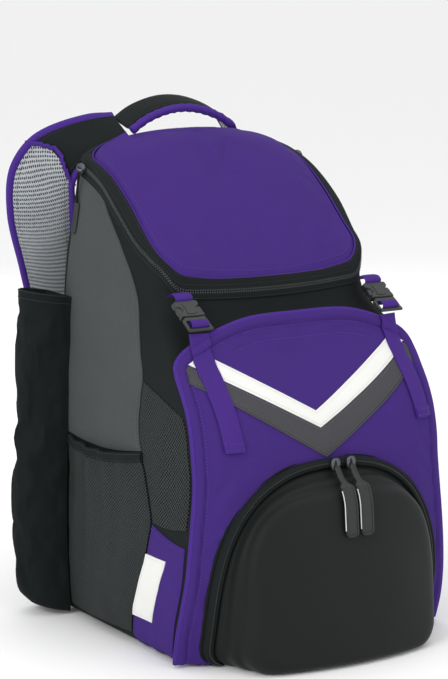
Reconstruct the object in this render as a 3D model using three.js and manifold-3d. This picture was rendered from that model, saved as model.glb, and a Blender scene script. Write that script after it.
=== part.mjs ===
// Baseball bat backpack: a hollow cloth body with a sloped zip lid, a padded front flap with a moulded
// hard case on it, two bat sleeves, two mesh side pockets, a haul handle and two shoulder straps.
// Millimetres, +Z up. The front faces -Y, the wearer's back is at +Y, and the bag stands on Z = 0.
import * as THREE from 'three';
import { mergeVertices } from 'three/addons/utils/BufferGeometryUtils.js';
import Module from 'manifold-3d';

// Whole bag
const lidTop = 498; // floor to the middle of the lid's back edge
const sideHalfWidth = 155; // middle to the fullest place of a side wall
const backDepth = 112; // middle to the back wall
const frontDepth = 170; // middle to the fullest place of the front flap
const clothWall = 2.4;
const seatGap = 0.5; // clearance between a piece and what carries it
const baseRound = 16; // radius along the bottom edge
const frontCornerRound = 10; // radius of the body's front corners, behind the flap
const rimCornerRound = 30; // the same at the lid's zipper
const backCornerRound = 18;

// Lid, its black gusset and its zipper
const rimShare = 0.4;
const rimDepth = rimShare * frontDepth; // middle to the zipper line at the front
const rimBow = 7; // how far its front corners lie behind its middle
const rimHalfWidth = 124;
const rimFrontHeight = 351;
const rimBackHeight = 471;
const lidHalfWidth = 117;
const lidStandBack = 4; // lid's front edge behind the zipper line
const lidFrontDepth = rimDepth - lidStandBack;
const lidBow = 6;
const lidBackDepth = 107;
const lidCornerRound = 25;
const lidBackRound = 26;
const lidThickness = 4;
const gussetThickness = 2;
const zipperBandHeight = 9;
const zipperBandThickness = 1.8;

// Front flap and what is sewn on it
const flapTop = 332;
const flapBottom = 4;
const flapHalfWidth = 142;
const flapThickness = 5;
const flapClearance = 1.6; // flap to the body behind it
const flapCurl = 13; // how far the flap's side edges lie behind its middle
const patchThickness = 0.9;
const chevronApex = 243; // inner corner of the white V
const whiteBand = 16; // height of the white V's stroke at the middle
const greyBand = 27; // the same for the grey V below it

// Side walls
const panelThickness = 1.4;
const pocketTop = 190;
const pocketLow = 14;
const pocketSag = 6; // how far the middle of the pocket's top hangs
const pocketBulge = 13;
const pocketCloth = 1.5;
const pocketBackEdge = 74; // front seam of the bat sleeve, behind the pocket
const bindingHeight = 9;
const bindingThickness = 3;
const wedgeHeight = 131; // top corner of the purple wedge
const wedgeFall = 12; // how much lower its top edge is at the flap
const labelWidth = 36;
const labelHeight = 66;
const labelFoot = 35;
const labelLean = 0.318; // run to the rear for each millimetre down

// Bat sleeves
const sleeveFront = 77; // front seam of the tube, behind the bag's middle
const sleeveHalfDepth = 27;
const sleeveReach = 45; // outwards from the side wall
const sleeveWall = 3;
const sleeveMouth = 334; // height at the side wall
const sleeveMouthRise = 7; // the lip stands higher at its outside
const sleeveFoot = 3;
const sleeveFootRise = 12;

// Hard case
const caseHalfWidth = 134;
const caseTop = 197;
const caseSpring = 35; // height where the straight sides turn into the arch
const caseArchPower = 2.5;
const caseReach = 227; // middle of the bag to the case's front face
const caseCrown = 28; // how far the face's side edges lie behind its middle
const caseLean = 24; // how far the face's top lies behind its foot
const caseWall = 4;
const caseSeat = 1; // clearance between the case and the flap
const caseZipperWidth = 8;
const caseZipperDepth = 10;
const caseFoot = 0.6;

// Straps, handle and buckles
const webbingWidth = 20;
const webbingThickness = 1.6;
const strapColumn = 112; // middle to each front strap
const strapEnd = 213; // height of the free end on the flap
const padThickness = 10;
const rootThickness = 6;
const handleHalfSpan = 61;
const handleFront = 106; // front edge of the handle band behind the middle
const handleDepth = 40; // front edge to rear edge
const handleFootHeight = 497.3;
const handleRise = 21; // front edge at the top of the arch, above its feet
const handleRearRise = 11; // how much higher the rear edge is
const handleBindingRadius = 4.6;
const backPadThickness = 11;
const backPadHalfWidth = 118;
const buckleWidth = 27;
const buckleThickness = 8;
const buckleLength = 46;
const strapStandOff = 9; // how far the webbing leaves the flap below its buckle
const strapTailLength = 128; // webbing from the pad's end to the foot of the back wall

// Colours
const purple = 0x4b2f8c;
const black = 0x232829;
const blackMesh = 0x2a2f30;
const greyCloth = 0x4e5354;
const greyPatch = 0x4b4c4e;
const whitePatch = 0xe6e6e4;
const hardBlack = 0x1c2021;
const gunmetal = 0x7d8082;

const bag = new THREE.Group();

function addPiece(name, geometry, color, roughness = 0.85, metalness = 0) {
  const material = new THREE.MeshStandardMaterial({ color, roughness, metalness });
  const mesh = new THREE.Mesh(geometry, material);
  mesh.name = name;
  bag.add(mesh);
  return mesh;
}

const mix = (a, b, t) => a + (b - a) * t;
const clamp = (value, low, high) => Math.min(high, Math.max(low, value));
const smooth = (value) => {
  const t = clamp(value, 0, 1);
  return t * t * (3 - 2 * t);
};
const vec = (x, y, z) => new THREE.Vector3(x, y, z);

// Reads one named column of a table at a place between its rows, as a smooth curve.
function tableAt(rows, column, key, at) {
  const last = rows.length - 1;
  if (at <= rows[0][key]) return rows[0][column];
  if (at >= rows[last][key]) return rows[last][column];
  let i = 0;
  while (rows[i + 1][key] < at) i += 1;
  const [a, b] = [rows[i], rows[i + 1]];
  const before = rows[Math.max(0, i - 1)];
  const after = rows[Math.min(last, i + 2)];
  const step = b[key] - a[key];
  const t = (at - a[key]) / step;
  const slopeA = ((b[column] - before[column]) / (b[key] - before[key])) * step;
  const slopeB = ((after[column] - a[column]) / (after[key] - a[key])) * step;
  const [t2, t3] = [t * t, t * t * t];
  return (2 * t3 - 3 * t2 + 1) * a[column] + (t3 - 2 * t2 + t) * slopeA
    + (3 * t2 - 2 * t3) * b[column] + (t3 - t2) * slopeB;
}

// Mesh building: a list of triangles is turned so that its faces point outwards.
function solidFrom(points, triangles) {
  let volume = 0;
  for (const [a, b, c] of triangles) {
    volume += points[a].dot(new THREE.Vector3().crossVectors(points[b], points[c]));
  }
  const faces = volume < 0 ? triangles.map(([a, b, c]) => [a, c, b]) : triangles;
  const geometry = new THREE.BufferGeometry();
  geometry.setAttribute('position', new THREE.Float32BufferAttribute(points.flatMap((p) => p.toArray()), 3));
  geometry.setIndex(faces.flat());
  geometry.computeVertexNormals();
  return geometry;
}

// Closed loops of equal count, joined one to the next; shut at both ends by flat fans.
function loft(rings) {
  const count = rings[0].length;
  const points = rings.flat();
  const triangles = [];
  for (let j = 0; j + 1 < rings.length; j += 1) {
    for (let i = 0; i < count; i += 1) {
      const [a, b] = [j * count + i, j * count + ((i + 1) % count)];
      triangles.push([a, b, b + count], [a, b + count, a + count]);
    }
  }
  const middleOf = (ring) => ring.reduce((sum, p) => sum.add(p), vec(0, 0, 0)).divideScalar(ring.length);
  const lowMiddle = points.push(middleOf(rings[0])) - 1;
  const highMiddle = points.push(middleOf(rings[rings.length - 1])) - 1;
  const top = (rings.length - 1) * count;
  for (let i = 0; i < count; i += 1) {
    const next = (i + 1) % count;
    triangles.push([lowMiddle, next, i], [highMiddle, top + i, top + next]);
  }
  return solidFrom(points, triangles);
}

// A hollow form: outer loops from one end to the rim, then inner loops from the rim back in.
const hollow = (outer, inner) => loft([...outer, ...inner.slice().reverse()]);

// A sheet with two faces, from a grid of places on each face; wraps when its columns form a loop.
function sheet(front, back, wraps = false) {
  const [rows, columns] = [front.length, front[0].length];
  const points = [...front.flat(), ...back.flat()];
  const half = rows * columns;
  const triangles = [];
  const quad = (a, b, c, d) => triangles.push([a, b, c], [a, c, d]);
  const at = (j, i) => j * columns + (i % columns);
  const spans = wraps ? columns : columns - 1;
  for (let j = 0; j + 1 < rows; j += 1) {
    for (let i = 0; i < spans; i += 1) {
      quad(at(j, i), at(j, i + 1), at(j + 1, i + 1), at(j + 1, i));
      quad(half + at(j, i), half + at(j + 1, i), half + at(j + 1, i + 1), half + at(j, i + 1));
    }
  }
  for (let i = 0; i < spans; i += 1) {
    quad(at(0, i), half + at(0, i), half + at(0, i + 1), at(0, i + 1));
    quad(at(rows - 1, i + 1), half + at(rows - 1, i + 1), half + at(rows - 1, i), at(rows - 1, i));
  }
  for (let j = 0; j + 1 < rows && !wraps; j += 1) {
    quad(at(j + 1, 0), half + at(j + 1, 0), half + at(j, 0), at(j, 0));
    const [low, high] = [at(j, columns - 1), at(j + 1, columns - 1)];
    quad(low, half + low, half + high, high);
  }
  return solidFrom(points, triangles);
}

const gridOf = (rows, columns, place) => Array.from({ length: rows + 1 }, (_, j) => (
  Array.from({ length: columns + 1 }, (_unused, i) => place(i / columns, j / rows))));

// A flat band between two edge curves, thickened to both sides, with its long edges eased.
function band(edgeA, edgeB, steps, thicknessAt, ease = 0.3) {
  const [curveA, curveB] = [new THREE.CatmullRomCurve3(edgeA), new THREE.CatmullRomCurve3(edgeB)];
  const rings = [];
  for (let s = 0; s <= steps; s += 1) {
    const t = s / steps;
    const [a, b] = [curveA.getPoint(t), curveB.getPoint(t)];
    const across = b.clone().sub(a);
    const along = curveA.getTangent(t).add(curveB.getTangent(t));
    const up = new THREE.Vector3().crossVectors(along, across).normalize();
    const thick = thicknessAt(t) / 2;
    const corner = (share, height) => (
      a.clone().addScaledVector(across, share).addScaledVector(up, height * thick));
    const inset = ease * thick / across.length();
    rings.push([corner(inset, 1), corner(0, 1 - ease), corner(0, ease - 1), corner(inset, -1),
      corner(1 - inset, -1), corner(1, ease - 1), corner(1, 1 - ease), corner(1 - inset, 1)]);
  }
  return loft(rings);
}

// A round cord or rod along a smooth curve.
function rod(places, radius, steps, sides = 8) {
  const outline = Array.from({ length: sides }, (_, i) => {
    const angle = (i / sides) * 2 * Math.PI;
    return new THREE.Vector2(radius * Math.cos(angle), radius * Math.sin(angle));
  });
  const extrudePath = new THREE.CatmullRomCurve3(places);
  return new THREE.ExtrudeGeometry(new THREE.Shape(outline), { steps, extrudePath, bevelEnabled: false });
}

// Solid cutting: both pieces are turned into closed solids first.
const wasm = await Module();
wasm.setup();
function solidOf(geometry) {
  const plain = geometry.clone();
  plain.deleteAttribute('normal');
  plain.deleteAttribute('uv');
  const merged = mergeVertices(plain, 1e-4);
  return new wasm.Manifold(new wasm.Mesh({
    numProp: 3,
    vertProperties: new Float32Array(merged.attributes.position.array),
    triVerts: new Uint32Array(merged.index.array),
  }));
}
function geometryOf(manifold) {
  const mesh = manifold.getMesh();
  const geometry = new THREE.BufferGeometry();
  geometry.setAttribute('position', new THREE.BufferAttribute(new Float32Array(mesh.vertProperties), 3));
  geometry.setIndex(new THREE.BufferAttribute(new Uint32Array(mesh.triVerts), 1));
  geometry.computeVertexNormals();
  return geometry;
}
const common = (a, b) => geometryOf(solidOf(a).intersect(solidOf(b)));
const joined = (a, b) => geometryOf(solidOf(a).add(solidOf(b)));

// A prism through the whole bag, from an outline seen from the front or from a side.
const prismDepth = 3 * frontDepth;
function shapeOf(outline) {
  return new THREE.Shape(outline.map(([across, up]) => new THREE.Vector2(across, up)));
}
function frontPrism(outline) {
  const prism = new THREE.ExtrudeGeometry(shapeOf(outline), { depth: prismDepth, bevelEnabled: false });
  return prism.rotateX(Math.PI / 2);
}
function sidePrism(side, outline) {
  const prism = new THREE.ExtrudeGeometry(shapeOf(outline), { depth: prismDepth, bevelEnabled: false });
  prism.applyMatrix4(new THREE.Matrix4().makeBasis(vec(0, 1, 0), vec(0, 0, 1), vec(1, 0, 0)));
  return side < 0 ? prism.translate(-prismDepth, 0, 0) : prism;
}

// Front flap: depth and half width at each height, as shares of frontDepth and flapHalfWidth.
const flapRows = [
  { height: 0.0, front: 0.89, half: 1.09 },
  { height: 0.09, front: 0.935, half: 1.1 },
  { height: 0.18, front: 0.972, half: 1.085 },
  { height: 0.27, front: 0.995, half: 1.06 },
  { height: 0.36, front: 1.0, half: 1.04 },
  { height: 0.54, front: 0.995, half: 1.0 },
  { height: 0.62, front: 0.98, half: 1.0 },
  { height: 0.7, front: 0.945, half: 1.0 },
  { height: 0.76, front: 0.893, half: 1.0 },
  { height: 0.82, front: 0.815, half: 1.0 },
  { height: 0.88, front: 0.735, half: 0.992 },
  { height: 0.94, front: 0.695, half: 0.985 },
  { height: 1.0, front: 0.67, half: 0.98 },
];
const flapHalf = (z) => flapHalfWidth * tableAt(flapRows, 'half', 'height', z / flapTop);
const flapDepth = (z) => frontDepth * tableAt(flapRows, 'front', 'height', z / flapTop);
const flapY = (x, z) => -flapDepth(z) + flapCurl * Math.abs(x / flapHalf(z)) ** 4;

// Body: half width of the side walls at each height, as a share of sideHalfWidth.
const sideRows = [
  { height: 0.0, side: 0.975 },
  { height: 0.1, side: 0.995 },
  { height: 0.2, side: 1.0 },
  { height: 0.4, side: 0.985 },
  { height: 0.54, side: 0.97 },
  { height: 0.62, side: 0.955 },
  { height: 0.7, side: 0.94 },
  { height: 0.82, side: 0.885 },
  { height: 0.92, side: 0.82 },
  { height: 1.0, side: 0.77 },
];
const recessStart = 0.86 * flapTop;
const rimFade = (z) => smooth((z - recessStart) / (rimFrontHeight - recessStart));
const sideHalf = (z) => sideHalfWidth * tableAt(sideRows, 'side', 'height', z / lidTop);
const frontHalf = (z) => Math.min(
  mix(flapHalf(Math.min(z, flapTop)) - 3 * seatGap, rimHalfWidth - seatGap, rimFade(z)),
  sideHalf(z),
);
const frontWallY = (x, z) => mix(
  flapY(x, Math.min(z, flapTop)) + flapThickness + flapClearance,
  -rimDepth + rimBow * (x / rimHalfWidth) ** 2,
  rimFade(z),
);
const cornerRound = (z) => mix(frontCornerRound, rimCornerRound, rimFade(z));

// The number of steps in each stretch of a loop round the bag.
const loopSteps = { front: 8, frontCorner: 4, side: 5, backCorner: 3, back: 4 };
const cornerStart = loopSteps.front / 2;
const sideStart = cornerStart + loopSteps.frontCorner;
const sideStop = sideStart + loopSteps.side;

// A loop with straight front and back and round corners; grow moves all of it outwards.
function loopAt(z, form, grow = 0) {
  const right = [];
  const frontRound = Math.max(2, form.frontRound + grow);
  const backRound = Math.max(2, form.backRound + grow);
  const straight = form.frontHalf + grow - frontRound;
  for (let i = 0; i <= cornerStart; i += 1) {
    const x = (straight * i) / cornerStart;
    right.push(vec(x, form.frontY(x) - grow, z));
  }
  const cornerY = form.frontY(straight) - grow + frontRound;
  for (let i = 1; i <= loopSteps.frontCorner; i += 1) {
    const angle = (i / loopSteps.frontCorner) * (Math.PI / 2);
    right.push(vec(straight + frontRound * Math.sin(angle), cornerY - frontRound * Math.cos(angle), z));
  }
  const sideEnd = form.back + grow - backRound;
  for (let i = 1; i <= loopSteps.side; i += 1) {
    const t = i / loopSteps.side;
    right.push(vec(mix(form.frontHalf, form.sideHalf, t * (2 - t)) + grow, mix(cornerY, sideEnd, t), z));
  }
  for (let i = 1; i <= loopSteps.backCorner; i += 1) {
    const angle = (i / loopSteps.backCorner) * (Math.PI / 2);
    const x = form.sideHalf + grow - backRound + backRound * Math.cos(angle);
    right.push(vec(x, sideEnd + backRound * Math.sin(angle), z));
  }
  const backHalf = form.sideHalf + grow - backRound;
  for (let i = 1; i <= loopSteps.back / 2; i += 1) {
    right.push(vec(backHalf * (1 - (2 * i) / loopSteps.back), form.back + grow, z));
  }
  const left = right.slice(1, -1).reverse().map((p) => vec(-p.x, p.y, p.z));
  return [...right, ...left];
}

const bodyForm = (z) => ({
  frontHalf: frontHalf(z),
  sideHalf: sideHalf(z),
  frontY: (x) => frontWallY(x, z),
  back: backDepth,
  frontRound: cornerRound(z),
  backRound: backCornerRound,
});
const baseTuck = (z) => (z < baseRound ? baseRound - Math.sqrt(baseRound ** 2 - (baseRound - z) ** 2) : 0);
const bodyLoop = (z, grow = 0) => loopAt(z, bodyForm(z), grow - baseTuck(z));

// Zipper line of the lid: its height at each place from front to back,
// as shares of backDepth and rimBackHeight.
const rimRows = [
  { depth: -0.62, rim: 0.742 },
  { depth: -0.545, rim: 0.76 },
  { depth: -0.464, rim: 0.797 },
  { depth: -0.196, rim: 0.841 },
  { depth: 0.089, rim: 0.9 },
  { depth: 0.446, rim: 0.9575 },
  { depth: 1.0, rim: 1.0 },
];
const rimHeight = (y) => rimBackHeight * tableAt(rimRows, 'rim', 'depth', y / backDepth);

// Body shell, open along the zipper line.
const bodyLevels = [0, 0.28 * baseRound, baseRound, 60, 115, 170, 220, 262, 290, 314];
const rimShares = [0.4, 0.7, 1];
const lastLevel = bodyLevels[bodyLevels.length - 1];
function columnsToRim(grow) {
  return rimShares.map((share) => bodyLoop(lastLevel).map((low, i) => {
    let place = low;
    for (let pass = 0; pass < 5; pass += 1) {
      place = bodyLoop(mix(lastLevel, rimHeight(place.y), share))[i];
    }
    return grow === 0 ? place : bodyLoop(place.z, grow)[i];
  }));
}
const bodyRows = [...bodyLevels.map((z) => bodyLoop(z)), ...columnsToRim(0)];
const rimLoop = bodyRows[bodyRows.length - 1];
function mainBody() {
  const inner = [...bodyLevels.map((z) => {
    const lift = clothWall * (1 - z / lastLevel);
    return bodyLoop(z, -clothWall).map((p) => vec(p.x, p.y, p.z + lift));
  }), ...columnsToRim(-clothWall)];
  return hollow(bodyRows, inner);
}
addPiece('main_body', mainBody(), black, 0.9);

// Lid panel: middle height and how far the sides hang below it, from front to back,
// as shares of backDepth and lidTop.
const lidRows = [
  { depth: -0.56, middle: 0.731, drop: -0.01 },
  { depth: -0.45, middle: 0.767, drop: -0.006 },
  { depth: -0.2, middle: 0.828, drop: 0.012 },
  { depth: 0.09, middle: 0.901, drop: 0.029 },
  { depth: 0.42, middle: 0.967, drop: 0.045 },
  { depth: 0.7, middle: 0.991, drop: 0.045 },
  { depth: 1.0, middle: 1.0, drop: 0.038 },
];
const lidForm = {
  frontHalf: lidHalfWidth,
  sideHalf: lidHalfWidth,
  frontY: (x) => -lidFrontDepth + lidBow * (x / lidHalfWidth) ** 2,
  back: lidBackDepth,
  frontRound: lidCornerRound,
  backRound: lidBackRound,
};
function lidHeight(x, y) {
  const [middle, drop] = ['middle', 'drop'].map((column) => tableAt(lidRows, column, 'depth', y / backDepth));
  return lidTop * (middle - drop * Math.abs(x / lidHalfWidth) ** 2.4);
}
const lidPlace = (x, y, below = 0) => vec(x, y, lidHeight(x, y) - below);
function lidLoop(share, below) {
  const middleY = (lidBackDepth - lidFrontDepth) / 2;
  return loopAt(0, lidForm).map((p) => lidPlace(p.x * share, mix(middleY, p.y, share), below));
}
const lidShares = [0.2, 0.45, 0.7, 0.88, 1];
addPiece('lid_panel', loft([
  ...lidShares.map((share) => lidLoop(share, 0)),
  ...lidShares.map((share) => lidLoop(share, lidThickness)).reverse(),
]), purple, 0.8);

// Gusset: the black strip from the lid's edge out to the zipper line.
function lidGusset() {
  const lidEdge = loopAt(0, lidForm, seatGap);
  const top = (share, below) => lidEdge.map((edge, i) => {
    const start = lidPlace(edge.x, edge.y, lidThickness / 2 - gussetThickness / 2);
    const rim = rimLoop[i];
    const place = start.lerp(vec(rim.x, rim.y, rim.z + seatGap + gussetThickness), share);
    const bulge = 2.5 * Math.sin(Math.PI * share);
    return vec(place.x * (1 + bulge / sideHalfWidth), place.y, place.z + bulge - below);
  });
  const shares = [0, 0.35, 0.7, 1];
  return sheet(shares.map((s) => top(s, 0)), shares.map((s) => top(s, gussetThickness)), true);
}
addPiece('lid_gusset', lidGusset(), black, 0.85);

// Zipper of the lid: a band outside the rim, from the left back corner round the front to the right one.
function lidZipper() {
  const around = rimLoop.length;
  const below = bodyRows[bodyRows.length - 2];
  const rows = [];
  for (let i = -sideStop; i <= sideStop; i += 1) {
    const at = (i + around) % around;
    const [here, under] = [rimLoop[at], below[at]];
    const [before, after] = [rimLoop[(at - 1 + around) % around], rimLoop[(at + 1) % around]];
    const out = vec(after.y - before.y, before.x - after.x, 0).normalize();
    const half = zipperBandHeight / 2;
    const low = here.clone().lerp(under, half / (here.z - under.z));
    const corner = (from, away, lift) => from.clone().addScaledVector(out, away).add(vec(0, 0, lift));
    const skin = seatGap + zipperBandThickness;
    rows.push([corner(low, seatGap, 0), corner(low, skin, 1),
      corner(here, skin, half - 1), corner(here, seatGap, half)]);
  }
  return loft(rows);
}
addPiece('lid_zipper', lidZipper(), hardBlack, 0.6);

// Front flap: a padded sheet that follows the body's front, cut to an arched top with round corners.
const ofFlap = ([x, z]) => [x * flapHalfWidth, z * flapTop];
const flapOutline = [[0, 1], [0.42, 0.994], [0.69, 0.961], [0.83, 0.932],
  [0.915, 0.908], [0.968, 0.88], [0.985, 0.845]];
function flapGrid(away) {
  return gridOf(14, 14, (u, v) => {
    const z = mix(flapBottom, flapTop, v);
    const x = (2 * u - 1) * flapHalf(z);
    return vec(x, flapY(x, z) + away, z);
  });
}
const flapSkin = (from, to) => sheet(flapGrid(-from), flapGrid(-to));
const wide = 1.3 * flapHalfWidth;
const mirrored = (half) => half.slice().reverse().filter(([x]) => x > 0).map(([x, z]) => [-x, z]);
const bothSides = (half) => [...half, ...mirrored(half)];
const flapCut = [
  ...flapOutline.map(ofFlap),
  [wide, 0.82 * flapTop],
  [wide, -flapTop],
];
addPiece('front_flap', common(flapSkin(0, -flapThickness), frontPrism(bothSides(flapCut))), purple, 0.8);

// Chevrons sewn on the flap: a white V and a grey V below it, cut off along the flap's edge seam.
const vWhiteLow = chevronApex - whiteBand;
const vGreyLow = vWhiteLow - greyBand;
const whiteHalf = [[0, chevronApex], ...[[0.73, 0.9], [0.83, 0.897], [0.895, 0.882]].map(ofFlap)];
const greyHalf = [[0, vWhiteLow - seatGap],
  ...[[0.895, 0.879], [0.925, 0.865], [0.93, 0.83], [0.88, 0.826]].map(ofFlap)];
const vOutline = (half, low) => {
  const left = half.slice(1).map(([x, z]) => [-x, z]);
  return [...left.slice().reverse(), half[0], ...half.slice(1), [0, low]];
};
const patch = (outline, from = seatGap, thickness = patchThickness) => (
  common(flapSkin(from, from + thickness), frontPrism(outline)));
addPiece('chevron_white', patch(vOutline(whiteHalf, vWhiteLow)), whitePatch, 0.6);
addPiece('chevron_grey', patch(vOutline(greyHalf, vGreyLow)), greyPatch, 0.8);

// The side wall as a surface: how far out it lies at a depth y and a height z.
function sideWallX(y, z, grow = 0) {
  const straight = frontHalf(z) - cornerRound(z);
  const cornerY = frontWallY(straight, z) + cornerRound(z);
  const t = clamp((y - cornerY) / (backDepth - backCornerRound - cornerY), 0, 1);
  return mix(frontHalf(z), sideHalf(z), t * (2 - t)) + grow - baseTuck(z);
}

// A piece sewn on a side wall: the wall's own skin, moved outwards and cut to an outline
// of depths and heights.
const skinStart = cornerStart + 2;
const skinStop = sideStop + 1;
function sidePiece(side, outline, from, thickness) {
  const around = rimLoop.length;
  const [start, stop] = side > 0 ? [skinStart, skinStop] : [around - skinStop, around - skinStart];
  const face = (away) => bodyRows.map((row) => (
    row.slice(start, stop + 1).map((p) => vec(p.x + side * away, p.y, p.z))));
  return common(sheet(face(from), face(from + thickness)), sidePrism(side, outline));
}

// Grey panel: front edge as shares of frontDepth, at shares of its own height.
const greyRows = [
  { height: 0.0, front: -0.365 },
  { height: 0.11, front: -0.326 },
  { height: 0.22, front: -0.339 },
  { height: 0.315, front: -0.353 },
  { height: 0.42, front: -0.298 },
  { height: 0.53, front: -0.202 },
  { height: 0.62, front: -0.128 },
  { height: 0.73, front: -0.066 },
  { height: 0.85, front: 0.052 },
  { height: 1.0, front: 0.23 },
];
const greyLow = pocketTop + bindingHeight + 2 * seatGap;
const greyTop = 0.873 * lidTop;
const greyBack = backDepth - backCornerRound - 1;
const greyShare = (z) => (z - greyLow) / (greyTop - greyLow);
const greyFront = (z) => frontDepth * tableAt(greyRows, 'front', 'height', greyShare(z));
const climb = (low, high, count, place) => (
  Array.from({ length: count + 1 }, (_, i) => place(mix(low, high, i / count))));
const sagAt = (y) => {
  const share = clamp((y - greyFront(greyLow)) / (pocketBackEdge - greyFront(greyLow)), 0, 1);
  return pocketSag * (Math.sin(Math.PI * share) + 0.9 * share);
};
const greyOutline = [
  ...climb(greyLow, greyTop, 12, (z) => [greyFront(z), z]),
  ...climb(greyFront(greyTop), greyBack, 4, (y) => [y, rimHeight(y) - zipperBandHeight]).slice(1),
  ...climb(greyBack, greyFront(greyLow), 6, (y) => [y, greyLow - sagAt(y)]).slice(0, -1),
];

// Side pocket: its front edge bows forwards above the wedge, and its foot stays clear of the base.
const pocketRows = [
  { height: 0.0, front: -0.294 },
  { height: 0.114, front: -0.325 },
  { height: 0.3, front: -0.39 },
  { height: 0.49, front: -0.452 },
  { height: 0.665, front: -0.49 },
  { height: 0.8, front: -0.45 },
  { height: 1.0, front: -0.37 },
];
const pocketShare = (z) => (z - pocketLow) / (pocketTop - pocketLow);
const pocketFront = (z) => frontDepth * tableAt(pocketRows, 'front', 'height', pocketShare(z));
const pocketSwell = (u, v) => {
  const tucks = 1 - 0.3 * Math.cos(4 * Math.PI * u) ** 2 * v;
  return pocketBulge * tucks * Math.sin(Math.PI * u) ** 0.8 * Math.sin(Math.PI * (0.12 + 0.62 * v));
};
function pocketFace(side, away, low, high) {
  return gridOf(high - low < 2 * bindingHeight ? 1 : 8, 10, (u, v) => {
    const z = mix(low, high, v);
    const y = mix(pocketFront(z), pocketBackEdge, u);
    const share = clamp(pocketShare(z), 0, 1);
    const sagged = z - sagAt(y) * share;
    return vec(side * (sideWallX(y, sagged, seatGap + away) + pocketSwell(u, share)), y, sagged);
  });
}
const pocketPiece = (side, low, high, cloth) => (
  sheet(pocketFace(side, 0, low, high), pocketFace(side, cloth, low, high)));

// Purple wedge below, mesh gusset above, both between the pocket and the flap.
const apexY = pocketFront(wedgeHeight) - 4 * seatGap;
const ahead = -1.3 * frontDepth;
const wedgeFoot = 0.5 * baseRound;
const slopeAhead = (wedgeFall / (frontDepth + apexY)) * (apexY - ahead);
const wedgeOutline = [
  ...climb(wedgeFoot, wedgeHeight, 8, (z) => [pocketFront(z) - 4 * seatGap, z]),
  [ahead, wedgeHeight - slopeAhead],
  [ahead, wedgeFoot],
];
const gussetTop = 0.81 * flapTop;
const gussetBack = (z) => (z < greyLow ? pocketFront(Math.min(z, pocketTop)) : greyFront(z)) - 4 * seatGap;
const meshOutline = [
  ...climb(wedgeHeight + 3 * seatGap, gussetTop, 10, (z) => [gussetBack(z), z]),
  [ahead, gussetTop - 0.34 * (gussetBack(gussetTop) - ahead)],
  [ahead, wedgeHeight - slopeAhead + 3 * seatGap],
];

// Sleeve: a D-shaped tube against the side wall, rounded at its foot.
const sleeveSteps = 14;
const sleeveMiddle = sleeveFront + sleeveHalfDepth;
function sleeveLoop(side, z, shrink, reachShare = 1, rise = 0, grow = 0) {
  const innerX = sideHalf(z) + panelThickness + 2.2 * seatGap + shrink;
  const depth = (sleeveHalfDepth - shrink) * mix(0.86, 1, reachShare) + grow;
  const reach = (sleeveReach - 2 * shrink) * reachShare + grow;
  const loop = [];
  for (let i = 0; i <= sleeveSteps; i += 1) {
    const angle = (i / sleeveSteps) * Math.PI;
    const out = Math.sin(angle) ** 0.75;
    loop.push(vec(side * (innerX + reach * out), sleeveMiddle - depth * Math.cos(angle), z + rise * out));
  }
  for (let i = 1; i < 4; i += 1) {
    loop.push(vec(side * innerX, sleeveMiddle + depth * (1 - i / 2), z));
  }
  return loop;
}
function sleeve(side) {
  const levels = [
    { z: sleeveFoot, reach: 0.68, rise: sleeveFootRise * 0.6 },
    { z: sleeveFoot + 5, reach: 0.9, rise: sleeveFootRise },
    { z: sleeveFoot + 20, reach: 1, rise: sleeveFootRise },
    { z: mix(sleeveFoot, sleeveMouth, 0.35), reach: 1, rise: sleeveMouthRise },
    { z: mix(sleeveFoot, sleeveMouth, 0.7), reach: 0.97, rise: sleeveMouthRise },
    { z: sleeveMouth, reach: 0.97, rise: sleeveMouthRise },
  ];
  const outer = levels.map((row) => sleeveLoop(side, row.z, 0, row.reach, row.rise));
  const inner = levels.map((row, i) => (
    sleeveLoop(side, row.z + (i < 2 ? sleeveWall : 0), sleeveWall, row.reach, row.rise)));
  return hollow(outer, inner);
}

// Woven label on the wedge, leaning with the pocket's front edge.
const labelSlope = (y, z) => [y - labelLean * z, labelFoot + z];
const labelY = pocketFront(labelFoot) - 6 * seatGap;
const labelOutline = [labelSlope(labelY, 0), labelSlope(labelY, labelHeight),
  labelSlope(labelY - labelWidth, labelHeight), labelSlope(labelY - labelWidth, 0)];

for (const [side, word] of [[-1, 'left'], [1, 'right']]) {
  addPiece(`side_panel_${word}`, sidePiece(side, greyOutline, seatGap, panelThickness), greyCloth, 0.95);
  const pocket = pocketPiece(side, pocketLow, pocketTop - seatGap, pocketCloth);
  addPiece(`mesh_pocket_${word}`, pocket, blackMesh, 0.9);
  const binding = pocketPiece(side, pocketTop, pocketTop + bindingHeight, bindingThickness);
  addPiece(`pocket_binding_${word}`, binding, black, 0.8);
  addPiece(`side_wedge_${word}`, sidePiece(side, wedgeOutline, seatGap, panelThickness), purple, 0.8);
  addPiece(`mesh_gusset_${word}`, sidePiece(side, meshOutline, seatGap, panelThickness), blackMesh, 0.9);
  addPiece(`bat_sleeve_${word}`, sleeve(side), black, 0.95);
}
const label = sidePiece(-1, labelOutline, 2 * seatGap + panelThickness, patchThickness);
addPiece('woven_label', label, whitePatch, 0.7);

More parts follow.
